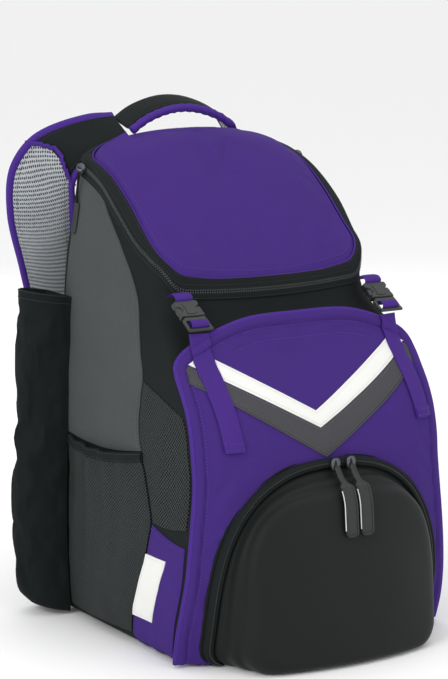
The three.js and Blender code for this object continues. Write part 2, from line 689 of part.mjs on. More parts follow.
// Hard case: how far in and how far forward its wall is from the flap to the front face, as shares.
const caseRows = [
  { ring: 1.0, forward: 0.0, foot: 0.0 },
  { ring: 0.985, forward: 0.2, foot: 0.0 },
  { ring: 0.945, forward: 0.3, foot: 0.0 },
  { ring: 0.93, forward: 0.52, foot: 0.0 },
  { ring: 0.89, forward: 0.62, foot: 0.0 },
  { ring: 0.87, forward: 0.82, foot: 0.0 },
  { ring: 0.83, forward: 0.95, foot: 0.015 },
  { ring: 0.77, forward: 1.0, foot: 0.035 },
];
const caseFrontY = (x, z) => -caseReach + caseCrown * (Math.abs(x) / caseHalfWidth) ** 2
  + caseLean * clamp(z / caseTop, 0, 1) ** 1.6;
const caseBaseY = (x, z) => flapY(x, z) - caseSeat;

// One loop of the case: a straight foot, round lower corners, straight sides and an arched top.
function caseOutline(ring, footHeight, inset = 0) {
  const half = (caseHalfWidth - inset) * ring;
  const rise = (caseTop - inset - caseSpring) * ring;
  const low = caseFoot + footHeight * caseTop + (inset > caseZipperWidth + 1 ? caseWall : 0);
  const round = Math.min(22, caseSpring - low - 2);
  const right = [];
  for (let i = 0; i <= 3; i += 1) right.push([((half - round) * i) / 3, low]);
  for (let i = 1; i <= 3; i += 1) {
    const angle = (i / 3) * (Math.PI / 2);
    right.push([half - round + round * Math.sin(angle), low + round - round * Math.cos(angle)]);
  }
  const archSteps = 8;
  const bend = 2 / caseArchPower;
  for (let i = 0; i <= archSteps; i += 1) {
    const angle = (i / archSteps) * (Math.PI / 2);
    right.push([half * Math.cos(angle) ** bend, caseSpring + rise * Math.sin(angle) ** bend]);
  }
  const left = right.slice(1, -1).reverse().map(([x, z]) => [-x, z]);
  return [...right, ...left];
}
function caseLoop(row, inset, back) {
  return caseOutline(row.ring, row.foot, inset).map(([x, z]) => {
    const y = mix(caseBaseY(x, z), caseFrontY(x, z), row.forward);
    return vec(x, y + back * row.forward, z);
  });
}
const caseInset = caseZipperWidth + seatGap;
function hardCase() {
  const face = [0.52, 0.27].map((ring) => ({ ring, forward: 1, foot: 0.035 + (0.77 - ring) * 0.5 }));
  const rows = [...caseRows, ...face];
  const outer = rows.map((row) => caseLoop(row, caseInset, 0)).reverse();
  const inner = rows.map((row) => caseLoop(row, caseInset + caseWall, caseWall)).reverse();
  return hollow(outer, inner);
}
addPiece('hard_case', hardCase(), hardBlack, 0.7);

// Zipper of the case: an arched band round it, on the flap.
function caseZipper() {
  const outer = caseOutline(1, 0);
  const inner = caseOutline(1, 0, caseZipperWidth);
  const skip = 4;
  const rows = [];
  for (let i = skip; i <= outer.length - skip; i += 1) {
    const [[ox, oz], [ix, iz]] = [outer[i], inner[i]];
    const corner = (share, depth) => {
      const [x, z] = [mix(ox, ix, share), mix(oz, iz, share)];
      return vec(x, caseBaseY(x, z) - depth, z);
    };
    rows.push([corner(0, 0), corner(0, caseZipperDepth * 0.8), corner(0.3, caseZipperDepth),
      corner(0.75, caseZipperDepth), corner(1, caseZipperDepth * 0.8), corner(1, 0)]);
  }
  return loft(rows);
}
addPiece('case_zipper', caseZipper(), hardBlack, 0.6);

// Surface of the case under a place on its front, for the pullers that hang over it.
function caseSurfaceY(x, z) {
  const [half, rise] = [caseHalfWidth - caseInset, caseTop - caseInset - caseSpring];
  const upper = Math.max(0, (z - caseSpring) / rise);
  const ring = (Math.abs(x / half) ** caseArchPower + upper ** caseArchPower) ** (1 / caseArchPower);
  const rows = caseRows.slice().reverse();
  const forward = ring < rows[0].ring ? 1 : tableAt(rows, 'forward', 'ring', ring);
  return mix(caseBaseY(x, z), caseFrontY(x, z), forward);
}
const caseFaceNear = (x, z) => Math.min(...[-10, -5, 0, 5].map((step) => caseSurfaceY(x, z + step)));

// Case sliders with their long pullers, side by side at the top of the arch.
const sliderSize = { width: 9, depth: 3.5, height: 9 };
const puller = { width: 15, thickness: 1.8, drop: 60, lean: -4 };
for (const [word, x] of [['a', 0], ['b', 18]]) {
  const top = caseTop - caseZipperWidth / 2;
  const face = caseBaseY(x, top) - caseZipperDepth - seatGap;
  const block = new THREE.BoxGeometry(sliderSize.width, sliderSize.depth, sliderSize.height);
  const slider = addPiece(`case_slider_${word}`, block, gunmetal, 0.4, 0.9);
  slider.position.set(x, face - sliderSize.depth / 2, top);
  const hang = (offset) => [0, 0.1, 0.25, 0.45, 0.7, 1].map((t) => {
    const z = top - sliderSize.height / 2 - seatGap - puller.drop * t;
    const clear = 3 * seatGap + puller.thickness / 2;
    const beforeSlider = face - sliderSize.depth * (1 - smooth(5 * t));
    const near = Math.min(beforeSlider, caseFaceNear(x + puller.lean * t, z));
    return vec(x + puller.lean * t + offset, near - clear, z);
  });
  const hold = (offset) => vec(x + offset, face - sliderSize.depth - seatGap - puller.thickness / 2, top - 1);
  const edge = (offset) => [hold(offset), ...hang(offset)];
  const strip = band(edge(-puller.width / 2), edge(puller.width / 2), 14, () => puller.thickness);
  addPiece(`case_puller_${word}`, strip, hardBlack, 0.5);
}

// Lid sliders at both back ends of the zipper, each with a hanging pull.
const lidPull = { width: 9, thickness: 2.6, drop: 60 };
const lidSliderLength = 13;
for (const [side, word] of [[-1, 'left'], [1, 'right']]) {
  const y = backDepth - backCornerRound - 8;
  const z = rimHeight(y);
  const x = sideWallX(y, z) + 2 * seatGap + zipperBandThickness;
  const block = new THREE.BoxGeometry(sliderSize.depth, lidSliderLength, sliderSize.height);
  const slider = addPiece(`lid_slider_${word}`, block, gunmetal, 0.4, 0.9);
  slider.position.set(side * (x + sliderSize.depth / 2 + 2 * seatGap), y, z);
  slider.rotation.x = Math.atan2(rimHeight(y + 5) - rimHeight(y - 5), 10);
  const edge = (offset) => [0, 0.33, 0.66, 1].map((t) => {
    const [back, height] = [y + offset, z - 0.6 * sliderSize.height - lidPull.drop * t];
    const clear = 2 * seatGap + panelThickness + lidPull.thickness + sliderSize.depth * (1 - t) ** 2;
    return vec(side * (sideWallX(back, height) + clear), back, height);
  });
  const strip = band(edge(-lidPull.width / 2), edge(lidPull.width / 2), 6, () => lidPull.thickness);
  addPiece(`lid_puller_${word}`, strip, hardBlack, 0.6);
}

// Straps over the front: a tab under the zipper, a side-release buckle and a webbing that lies on the flap.
const buckleFoot = vec(0, flapY(strapColumn, 0.965 * flapTop) - 4, 0.965 * flapTop);
const buckleSlope = 0.67; // angle below the level
const buckleRun = vec(0, -Math.cos(buckleSlope), -Math.sin(buckleSlope));
const buckleHead = buckleFoot.clone().addScaledVector(buckleRun, -1.08 * buckleLength);
for (const [side, word] of [[-1, 'left'], [1, 'right']]) {
  const x = side * strapColumn;
  const edges = (places, half) => (
    [-half, half].map((offset) => places.map(([y, z]) => vec(x + offset, y, z))));
  const place = (mesh, share) => {
    mesh.position.copy(buckleHead.clone().addScaledVector(buckleRun, share * buckleLength));
    mesh.position.x = x;
    mesh.rotation.x = buckleSlope - Math.PI / 2;
  };
  const straight = rimHalfWidth - rimCornerRound;
  const bend = Math.sqrt(rimCornerRound ** 2 - (strapColumn - webbingWidth / 2 - straight) ** 2);
  const wall = frontWallY(straight, rimFrontHeight) + rimCornerRound - bend;
  const tabStart = wall - zipperBandThickness - seatGap - webbingThickness / 2;
  const tabPlaces = [[tabStart, rimFrontHeight - 3], [buckleHead.y - 1, buckleHead.z + 1]];
  const tab = band(...edges(tabPlaces, webbingWidth / 2), 2, () => webbingThickness);
  addPiece(`lid_tab_${word}`, tab, purple, 0.75);
  const half = buckleLength / 2 - 2 * seatGap;
  const socket = new THREE.BoxGeometry(buckleWidth, buckleThickness, half);
  const plug = new THREE.BoxGeometry(buckleWidth * 0.84, buckleThickness * 0.7, half);
  place(addPiece(`buckle_socket_${word}`, socket, hardBlack, 0.45), 0.27);
  place(addPiece(`buckle_plug_${word}`, plug, hardBlack, 0.45), 0.77);
  const lift = 2 * seatGap + patchThickness;
  const low = [[x - webbingWidth / 2, strapEnd], [x - webbingWidth / 2, 0.9 * flapTop],
    [x + webbingWidth / 2, 0.9 * flapTop], [x + webbingWidth / 2, strapEnd]];
  const lying = patch(side < 0 ? low : low.slice().reverse(), lift, webbingThickness);
  const rise = [0.875, 0.89, 0.91, 0.93].map((share) => {
    const z = share * flapTop;
    const face = flapY(strapColumn - webbingWidth / 2, z) - lift - 2 * seatGap;
    return [face - webbingThickness / 2 - strapStandOff * smooth((share - 0.88) / 0.06), z];
  });
  const plugEnd = 0.77 * buckleLength + half / 2 + seatGap;
  const strapTop = buckleHead.clone().addScaledVector(buckleRun, plugEnd);
  const hung = edges([...rise, [strapTop.y, strapTop.z]], webbingWidth / 2);
  const hanging = band(...hung, 8, () => webbingThickness);
  addPiece(`flap_strap_${word}`, joined(lying, hanging), purple, 0.75);
}

// Back panel: a padded board behind the body.
function backPanel() {
  const [low, high] = [0.05 * lidTop, 0.94 * lidTop];
  const round = 24;
  const half = (z) => backPadHalfWidth * mix(1, 0.84, smooth(z / lidTop));
  const ring = (grow, y) => [[1, 0], [1, 1], [-1, 1], [-1, 0]].flatMap(([sx, top], index) => {
    const z = top ? high - grow - round : low + grow + round;
    return [0, 1, 2, 3].map((i) => {
      const angle = ((index - 1) * Math.PI) / 2 + (i / 3) * (Math.PI / 2);
      const x = sx * (half(z) - grow - round) + round * Math.cos(angle);
      return vec(x, y, z + round * Math.sin(angle));
    });
  });
  const start = backDepth + seatGap;
  return loft([ring(0, start), ring(0, start + 0.6 * backPadThickness), ring(6, start + backPadThickness)]);
}
addPiece('back_panel', backPanel(), black, 0.9);

// Haul handle: a wide band arched between the two strap roots, with a round binding on its front edge.
const handleArc = (t) => Math.sin(Math.PI * t) ** 0.8;
function handleEdges(offset = 0) {
  const shares = Array.from({ length: 9 }, (_, i) => i / 8);
  const front = shares.map((t) => vec(
    mix(-handleHalfSpan, handleHalfSpan, t),
    handleFront + offset,
    handleFootHeight + handleRise * handleArc(t) + handleRearRise * (offset / handleDepth),
  ));
  const run = 1 - offset / handleDepth;
  const rear = front.map((p) => vec(p.x, p.y + handleDepth * run, p.z + handleRearRise * run));
  return [front, rear];
}
const handleBand = band(...handleEdges(handleBindingRadius + 2 * seatGap), 16, () => rootThickness - 1);
addPiece('haul_handle', handleBand, black, 0.85);
addPiece('handle_binding', rod(handleEdges()[0], handleBindingRadius, 16), purple, 0.75);

// Shoulder straps: front and rear edge of one, from the handle's foot round and down behind the bag,
// as shares of the handle's span, of 100 mm behind handleFront, and of lidTop above the handle's feet.
const strapRows = [
  { front: [0.51, 0.0, 0.0], rear: [0.51, 0.4, 0.022] },
  { front: [0.75, 0.1, -0.02], rear: [0.72, 0.48, 0.014] },
  { front: [0.93, 0.26, -0.065], rear: [1.18, 0.6, -0.026] },
  { front: [0.88, 0.45, -0.12], rear: [1.38, 0.64, -0.08] },
  { front: [0.85, 0.49, -0.2], rear: [1.42, 0.63, -0.17] },
  { front: [0.83, 0.47, -0.3], rear: [1.33, 0.58, -0.29] },
  { front: [0.82, 0.42, -0.42], rear: [1.24, 0.5, -0.42] },
  { front: [0.83, 0.35, -0.55], rear: [1.2, 0.38, -0.55] },
  { front: [0.86, 0.28, -0.66], rear: [1.17, 0.3, -0.66] },
];
// The other strap falls close behind the back.
const fallenRows = [
  { front: [0.51, 0.0, 0.0], rear: [0.51, 0.4, 0.022] },
  { front: [0.6, 0.12, -0.028], rear: [0.66, 0.46, -0.022] },
  { front: [0.68, 0.28, -0.085], rear: [0.92, 0.58, -0.085] },
  { front: [0.73, 0.38, -0.15], rear: [1.15, 0.58, -0.15] },
  { front: [0.76, 0.42, -0.22], rear: [1.26, 0.56, -0.22] },
  { front: [0.78, 0.42, -0.31], rear: [1.27, 0.54, -0.31] },
  { front: [0.79, 0.38, -0.42], rear: [1.23, 0.48, -0.42] },
  { front: [0.81, 0.33, -0.55], rear: [1.19, 0.37, -0.55] },
  { front: [0.84, 0.28, -0.66], rear: [1.15, 0.3, -0.66] },
];
const strapSpan = handleHalfSpan * 2;
const strapPlace = (side, [x, y, z]) => vec(
  side * (x * strapSpan + 2 * seatGap),
  handleFront + y * 100,
  handleFootHeight + z * lidTop,
);
for (const [side, word, rows] of [[-1, 'left', strapRows], [1, 'right', fallenRows]]) {
  const thickness = (t) => mix(rootThickness - 1, padThickness, smooth(t * 4));
  const [front, rear] = ['front', 'rear'].map((key) => rows.map((row) => strapPlace(side, row[key])));
  addPiece(`strap_pad_${word}`, band(front, rear, 24, thickness, 0.5), black, 0.9);
  const end = front[front.length - 1].clone().lerp(rear[rear.length - 1], 0.5);
  const run = [0, 0.5, 1].map((t) => vec(
    end.x + side * 8 * t,
    mix(end.y, backDepth + 4 * seatGap + webbingThickness, t ** 1.5),
    end.z - 2 * seatGap - strapTailLength * t,
  ));
  const tail = (offset) => run.map((p) => vec(p.x + offset, p.y, p.z));
  const strip = band(tail(-webbingWidth / 2), tail(webbingWidth / 2), 6, () => webbingThickness);
  addPiece(`strap_tail_${word}`, strip, black, 0.8);
}

// The bag's box stands centred over the frame's origin.
const whole = new THREE.Box3().setFromObject(bag);
bag.position.set(-(whole.min.x + whole.max.x) / 2, -(whole.min.y + whole.max.y) / 2, -whole.min.z);

export default bag;
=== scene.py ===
import bpy
import bmesh
import math
import numpy as np
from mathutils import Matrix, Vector, noise
from mathutils.bvhtree import BVHTree


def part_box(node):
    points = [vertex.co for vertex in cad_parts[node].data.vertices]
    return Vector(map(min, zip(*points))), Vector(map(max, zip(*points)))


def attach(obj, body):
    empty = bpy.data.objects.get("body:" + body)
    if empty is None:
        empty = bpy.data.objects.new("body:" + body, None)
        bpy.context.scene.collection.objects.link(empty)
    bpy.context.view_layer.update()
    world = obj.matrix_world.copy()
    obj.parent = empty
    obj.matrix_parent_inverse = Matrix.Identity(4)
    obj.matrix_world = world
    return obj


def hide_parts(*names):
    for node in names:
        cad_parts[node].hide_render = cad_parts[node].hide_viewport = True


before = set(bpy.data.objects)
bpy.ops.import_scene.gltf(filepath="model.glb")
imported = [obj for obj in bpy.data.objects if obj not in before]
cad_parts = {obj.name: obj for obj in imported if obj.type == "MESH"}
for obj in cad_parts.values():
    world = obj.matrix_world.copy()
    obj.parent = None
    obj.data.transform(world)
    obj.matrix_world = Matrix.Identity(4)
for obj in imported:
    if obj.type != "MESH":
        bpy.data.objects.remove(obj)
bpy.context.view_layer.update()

# Lengths are millimetres with the body's middle at y = 0, as they are thought of on the drawing; toMetres
# moves them
# to the frame.
backWall = 112.0
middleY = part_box("main_body")[1].y * 1000 - backWall


def toMetres(points):
    moved = np.asarray(points, float).reshape(-1, 3) + np.array([0.0, middleY, 0.0])
    return moved * 0.001


def mix(a, b, t):
    return a + (b - a) * t


def clamp(value, low, high):
    return min(high, max(low, value))


def smooth(value):
    t = clamp(value, 0.0, 1.0)
    return t * t * (3 - 2 * t)


def tableAt(rows, at, column=1):
    # Reads one column of a table at a place between its rows, as a smooth curve.
    keys = [row[0] for row in rows]
    values = [row[column] for row in rows]
    last = len(rows) - 1
    if at <= keys[0]:
        return values[0]
    if at >= keys[last]:
        return values[last]
    i = 0
    while keys[i + 1] < at:
        i += 1
    before, after = max(0, i - 1), min(last, i + 2)
    step = keys[i + 1] - keys[i]
    t = (at - keys[i]) / step
    slopeA = (values[i + 1] - values[before]) / (keys[i + 1] - keys[before]) * step
    slopeB = (values[after] - values[i]) / (keys[after] - keys[i]) * step
    t2, t3 = t * t, t * t * t
    return ((2 * t3 - 3 * t2 + 1) * values[i] + (t3 - 2 * t2 + t) * slopeA
            + (3 * t2 - 2 * t3) * values[i + 1] + (t3 - t2) * slopeB)


def curveThrough(places, t):
    # A point of the smooth curve through the places, t from 0 to 1.
    places = [np.asarray(p, float) for p in places]
    last = len(places) - 1
    at = clamp(t, 0.0, 1.0) * last
    i = min(int(at), last - 1)
    w = at - i
    p1, p2 = places[i], places[i + 1]
    p0 = places[i - 1] if i > 0 else 2 * p1 - p2
    p3 = places[i + 2] if i + 2 <= last else 2 * p2 - p1
    d0, d1, d2 = (max(1e-6, float(np.sum((b - a) ** 2)) ** 0.25) for a, b in ((p0, p1), (p1, p2), (p2, p3)))
    m1 = ((p1 - p0) / d0 - (p2 - p0) / (d0 + d1) + (p2 - p1) / d1) * d1
    m2 = ((p2 - p1) / d1 - (p3 - p1) / (d1 + d2) + (p3 - p2) / d2) * d1
    return p1 + m1 * w + (-3 * p1 + 3 * p2 - 2 * m1 - m2) * w ** 2 + (2 * p1 - 2 * p2 + m1 + m2) * w ** 3


# Materials


def linearColor(code):
    channels = [((code >> shift) & 255) / 255 for shift in (16, 8, 0)]
    return [c / 12.92 if c <= 0.04045 else ((c + 0.055) / 1.055) ** 2.4 for c in channels] + [1.0]


def addNode(tree, kind, inputs=None, **settings):
    new = tree.nodes.new(kind)
    for key, value in settings.items():
        setattr(new, key, value)
    for key, value in (inputs or {}).items():
        if isinstance(value, bpy.types.NodeSocket):
            tree.links.new(value, new.inputs[key])
        else:
            new.inputs[key].default_value = value
    return new


def emptyMaterial(name):
    material = bpy.data.materials.new(name)
    material.use_nodes = True
    tree = material.node_tree
    tree.nodes.clear()
    out = addNode(tree, "ShaderNodeOutputMaterial")
    shader = addNode(tree, "ShaderNodeBsdfPrincipled")
    tree.links.new(shader.outputs["BSDF"], out.inputs["Surface"])
    return material, tree, shader


def mathOn(tree, operation, a, b=0.0, clampIt=False):
    return addNode(tree, "ShaderNodeMath", {0: a, 1: b}, operation=operation, use_clamp=clampIt).outputs[0]


def colorSwing(tree, color, amount, factor):
    # The colour itself, made darker and lighter by the factor's swing.
    value = addNode(tree, "ShaderNodeMapRange", {"Value": factor, "To Min": 1 - amount, "To Max": 1 + amount})
    shaded = addNode(tree, "ShaderNodeHueSaturation", {"Value": value.outputs[0], "Color": color})
    return shaded.outputs["Color"]


def placesOf(tree):
    return addNode(tree, "ShaderNodeTexCoord").outputs["Object"]


def grainOf(tree, turn=0.0):
    # The piece's own cloth direction: a map in metres along and across each panel.
    grain = addNode(tree, "ShaderNodeUVMap", uv_map="grain").outputs["UV"]
    if turn == 0.0:
        return grain
    turned = addNode(tree, "ShaderNodeMapping", {"Vector": grain, "Rotation": (0, 0, turn)})
    return turned.outputs["Vector"]


wavePeriod = 0.31416  # metres from crest to crest of a wave texture of scale 1


def clothMaterial(name, color, pitch=0.9, depth=0.16, rough=0.86, sheen=0.22, mottle=0.07, fleck=0.0,
                  turn=0.0):
    # Woven cloth: crossing threads of the given pitch, a soft sheen at grazing angles, faint large patches of
    # wear.
    material, tree, shader = emptyMaterial(name)
    grain = grainOf(tree, turn)
    waves = [addNode(tree, "ShaderNodeTexWave", {"Vector": grain, "Scale": wavePeriod / (pitch * 0.001),
                                                 "Distortion": 0.6, "Detail": 1.0},
                     bands_direction=way).outputs["Fac"] for way in ("X", "Y")]
    threads = mathOn(tree, "MULTIPLY", waves[0], waves[1])
    patches = addNode(tree, "ShaderNodeTexNoise", {"Vector": placesOf(tree), "Scale": 22.0, "Detail": 4.0})
    tone = colorSwing(tree, linearColor(color), mottle, patches.outputs["Fac"])
    if fleck:
        flecks = addNode(tree, "ShaderNodeTexNoise",
                         {"Vector": placesOf(tree), "Scale": 900.0, "Detail": 2.0})
        tone = colorSwing(tree, tone, fleck, flecks.outputs["Fac"])
    tone = colorSwing(tree, tone, 0.1, threads)
    tree.links.new(tone, shader.inputs["Base Color"])
    worn = addNode(tree, "ShaderNodeMapRange", {"Value": patches.outputs["Fac"], "To Min": rough - 0.08,
                                                "To Max": min(1.0, rough + 0.06)})
    tree.links.new(worn.outputs[0], shader.inputs["Roughness"])
    shader.inputs["Sheen Weight"].default_value = sheen
    shader.inputs["Sheen Roughness"].default_value = 0.45
    shader.inputs["Sheen Tint"].default_value = linearColor(color)[:3] + [1.0]
    shader.inputs["Specular IOR Level"].default_value = 0.12
    creases = addNode(tree, "ShaderNodeTexNoise", {"Vector": placesOf(tree), "Scale": 60.0, "Detail": 3.0})
    coarse = addNode(tree, "ShaderNodeBump", {"Height": creases.outputs["Fac"], "Strength": 0.35,
                                              "Distance": 0.0012})
    bump = addNode(tree, "ShaderNodeBump", {"Height": threads, "Strength": 0.8, "Distance": depth * 0.001,
                                            "Normal": coarse.outputs["Normal"]})
    tree.links.new(bump.outputs["Normal"], shader.inputs["Normal"])
    return material


def netMaterial(name, thread, holeShade, pitch=2.6, hole=0.34, depth=0.5, rough=0.8):
    # Open knitted net: round holes in a turned lattice, painted dark for what lies behind them and its
    # painted shade.
    material, tree, shader = emptyMaterial(name)
    cells = addNode(tree, "ShaderNodeTexVoronoi", {"Vector": grainOf(tree, 0.785), "Scale": 1000.0 / pitch,
                                                   "Randomness": 0.12}, feature="F1")
    knit = addNode(tree, "ShaderNodeMapRange", {"Value": cells.outputs["Distance"], "From Min": hole - 0.1,
                                                "From Max": hole + 0.1}).outputs[0]
    # stretch: large random blotches that lighten and darken the net's colour, as painted shade of the folds
    # in the net.
    stretch = addNode(tree, "ShaderNodeTexNoise", {"Vector": placesOf(tree), "Scale": 30.0, "Detail": 3.0})
    # The holes take the hole colour: painted shade of the hollow seen through the net.
    tone = addNode(tree, "ShaderNodeMix", {"Factor": knit, "A": linearColor(holeShade), "B": linearColor(thread)},
                   data_type="RGBA")
    swung = colorSwing(tree, tone.outputs["Result"], 0.12, stretch.outputs["Fac"])
    tree.links.new(swung, shader.inputs["Base Color"])
    shine = addNode(tree, "ShaderNodeMapRange", {"Value": knit, "To Min": 1.0, "To Max": rough - 0.15})
    tree.links.new(shine.outputs[0], shader.inputs["Roughness"])
    shader.inputs["Specular IOR Level"].default_value = 0.2
    bump = addNode(tree, "ShaderNodeBump", {"Height": knit, "Strength": 0.9, "Distance": depth * 0.001})
    tree.links.new(bump.outputs["Normal"], shader.inputs["Normal"])
    return material


def mouldedMaterial(name, color, rough=0.6):
    # Cloth-faced moulded foam: a tight fine grain that catches a broad soft light.
    material, tree, shader = emptyMaterial(name)
    grain = addNode(tree, "ShaderNodeTexNoise", {"Vector": placesOf(tree), "Scale": 1400.0, "Detail": 2.0})
    patches = addNode(tree, "ShaderNodeTexNoise", {"Vector": placesOf(tree), "Scale": 14.0, "Detail": 4.0})
    tone = colorSwing(tree, linearColor(color), 0.1, patches.outputs["Fac"])
    tone = colorSwing(tree, tone, 0.12, grain.outputs["Fac"])
    tree.links.new(tone, shader.inputs["Base Color"])
    worn = addNode(tree, "ShaderNodeMapRange", {"Value": patches.outputs["Fac"], "To Min": rough - 0.07,
                                                "To Max": rough + 0.1})
    tree.links.new(worn.outputs[0], shader.inputs["Roughness"])
    shader.inputs["Sheen Weight"].default_value = 0.05
    shader.inputs["Specular IOR Level"].default_value = 0.22
    bump = addNode(tree, "ShaderNodeBump", {"Height": grain.outputs["Fac"], "Strength": 0.5,
                                            "Distance": 0.0002})
    tree.links.new(bump.outputs["Normal"], shader.inputs["Normal"])
    return material


def hardMaterial(name, color, rough=0.42, metal=0.0, scratch=0.08):
    # Moulded plastic, rubber or plated metal: satin skin with light rubbing.
    material, tree, shader = emptyMaterial(name)
    rub = addNode(tree, "ShaderNodeTexNoise", {"Vector": placesOf(tree), "Scale": 160.0, "Detail": 6.0})
    tone = colorSwing(tree, linearColor(color), scratch, rub.outputs["Fac"])
    tree.links.new(tone, shader.inputs["Base Color"])
    worn = addNode(tree, "ShaderNodeMapRange", {"Value": rub.outputs["Fac"], "To Min": rough - 0.1,
                                                "To Max": rough + 0.12})
    tree.links.new(worn.outputs[0], shader.inputs["Roughness"])
    shader.inputs["Metallic"].default_value = metal
    bump = addNode(tree, "ShaderNodeBump", {"Height": rub.outputs["Fac"], "Strength": 0.12,
                                            "Distance": 0.0003})
    tree.links.new(bump.outputs["Normal"], shader.inputs["Normal"])
    return material


purple = 0x402874
black = 0x1C2020
looks = {
    # Tightly woven bag cloth: near black and matt, with a faint sheen where it turns away from the eye.
    "blackCloth": clothMaterial("black woven polyester", black, 0.8, sheen=0.08),
    # The same cloth dyed deep purple, whose threads and worn patches show more than on the black.
    "purpleCloth": clothMaterial("purple woven polyester", purple, 0.8, sheen=0.15),
    # Folded tape round the edges: a coarser weave, painted a touch lighter than the cloth it binds as a
    # painted highlight along the rolled edges.
    "highlitPurpleEdge": clothMaterial("purple binding tape with painted highlight", 0x482C84, 1.1, 0.2, sheen=0.2),
    # Brushed knit of mixed fibres: mid grey and speckled, quite without shine.
    "heather": clothMaterial("grey brushed heather cloth", 0x484C4C, 1.0, 0.2, mottle=0.09, fleck=0.3),
    # Smooth close-woven patch cloth: a clean white that hardly mottles, and its dark grey fellow.
    "whitePatch": clothMaterial("white sewn patch cloth", 0xE8E8E4, 0.7, 0.1, sheen=0.05, mottle=0.03,
                                fleck=0.05),
    "greyPatch": clothMaterial("dark grey sewn patch cloth", 0x48484C, 0.7, 0.1, sheen=0.15, fleck=0.08),
    # Thin stretch cloth of the sleeves: the dullest black of the bag.
    "sleeveCloth": clothMaterial("black stretch sleeve cloth", 0x181C1C, 0.6, 0.1, rough=0.92, sheen=0.1),
    # Woven strap webbing: heavy ribs, a little smoother and shinier than the cloth.
    "purpleWebbing": clothMaterial("purple ribbed webbing", 0x44287C, 1.5, 0.4, rough=0.72, turn=0.785),
    "blackWebbing": clothMaterial("black ribbed webbing", 0x181C1C, 1.5, 0.4, rough=0.75, turn=0.785),
    # Zipper tape: a fine dark weave that lets the coil stand out.
    "tape": clothMaterial("black zipper tape", 0x1C2020, 0.9, 0.2, rough=0.8, turn=0.785),
    # Knitted nets: holes painted dark with painted shade between lighter threads, larger on the gusset than
    # on the pocket.
    "pocketNet": netMaterial("black pocket net", 0x343838, 0x0C1010, 2.1),
    "gussetNet": netMaterial("black gusset net", 0x343838, 0x080C0C, 2.8, 0.36),
    # Spacer net over foam: thick round holes painted dark with painted shade, pale inside the shoulder straps
    # and black on the back.
    "spacerNet": netMaterial("pale spacer net", 0xA8ACB0, 0x303438, 3.2, 0.3, 0.8),
    "backNet": netMaterial("black spacer net", 0x2C3030, 0x101414, 3.4, 0.32, 0.9),
    # Foam moulded under a cloth skin: a fine grain with a broad soft gleam.
    "moulded": mouldedMaterial("black moulded case skin", 0x0C1010, 0.6),
    # Injection-moulded plastic: satin, lightly rubbed.
    "plastic": hardMaterial("black moulded plastic", 0x202424, 0.4),
    # Nylon coil: black, but painted mid grey as a painted highlight on the teeth, and smooth enough that each
    # tooth catches a small light.
    "coil": hardMaterial("black zipper coil, painted grey as highlight", 0x444848, 0.32),
    # Moulded rubber of the pulls: duller than the plastic.
    "rubber": hardMaterial("black rubber pull", 0x181C1C, 0.55),
    # Nickel-plated zinc of the sliders: dark and metallic, with soft reflections.
    "metal": hardMaterial("dark nickel slider", 0x585C60, 0.35, 0.9, 0.15),
    # Sewing threads: small smooth beads, each a shade off the cloth that it holds; the white one also draws a
    # painted highlight along the case pulls' left edges.
    "purpleThread": hardMaterial("purple thread", 0x503490, 0.6),
    "blackThread": hardMaterial("black thread", 0x343838, 0.7),
    "whiteThreadAndHighlight": hardMaterial("white thread and painted highlight", 0xD0D0CC, 0.7),
    "greyThread": hardMaterial("grey thread", 0x606464, 0.7),
}
print("materials made", len(looks))

# Mesh building: a part is places, faces, a grain map and the number of its material


def gridGrain(grid):
    across = np.linalg.norm(np.diff(grid, axis=1), axis=2)
    up = np.linalg.norm(np.diff(grid, axis=0), axis=2)
    u = np.concatenate([np.zeros((grid.shape[0], 1)), np.cumsum(across, axis=1)], axis=1)
    v = np.concatenate([np.zeros((1, grid.shape[1])), np.cumsum(up, axis=0)], axis=0)
    return np.stack([u, v], axis=2).reshape(-1, 2) * 0.001


def quadsOf(rows, columns, start=0, wraps=False):
    spans = columns if wraps else columns - 1
    return [(start + j * columns + i, start + j * columns + (i + 1) % columns,
             start + (j + 1) * columns + (i + 1) % columns, start + (j + 1) * columns + i)
            for j in range(rows - 1) for i in range(spans)]


def sheetPart(front, back, wraps=False):
    # A closed sheet from a grid of places on its face and one on its back.
    rows, columns = front.shape[:2]
    half = rows * columns
    places = np.concatenate([front.reshape(-1, 3), back.reshape(-1, 3)])
    grain = np.concatenate([gridGrain(front), gridGrain(front)])
    faces = quadsOf(rows, columns, 0, wraps)
    faces += [face[::-1] for face in quadsOf(rows, columns, half, wraps)]
    edge = []
    spans = columns if wraps else columns - 1
    for row in (0, rows - 1):
        edge += [(row * columns + i, row * columns + (i + 1) % columns) for i in range(spans)]
    if not wraps:
        for column in (0, columns - 1):
            edge += [(j * columns + column, (j + 1) * columns + column) for j in range(rows - 1)]
    faces += [(a, b, b + half, a + half) for a, b in edge]
    return places, faces, grain, [0] * len(faces)


def ringsPart(rings, look=0, capped=True):
    # Closed loops of equal count joined one to the next, shut at their ends by a fan.
    grid = np.array(rings, float)
    rows, columns = grid.shape[:2]
    places = grid.reshape(-1, 3)
    grain = gridGrain(grid)
    faces = quadsOf(rows, columns, 0, True)
    for row in (0, rows - 1) if capped else ():
        places = np.concatenate([places, grid[row].mean(axis=0)[None]])
        grain = np.concatenate([grain, grain[row * columns:(row + 1) * columns].mean(axis=0)[None]])
        centre = len(places) - 1
        faces += [(row * columns + i, row * columns + (i + 1) % columns, centre) for i in range(columns)]
    return places, faces, grain, [look] * len(faces)


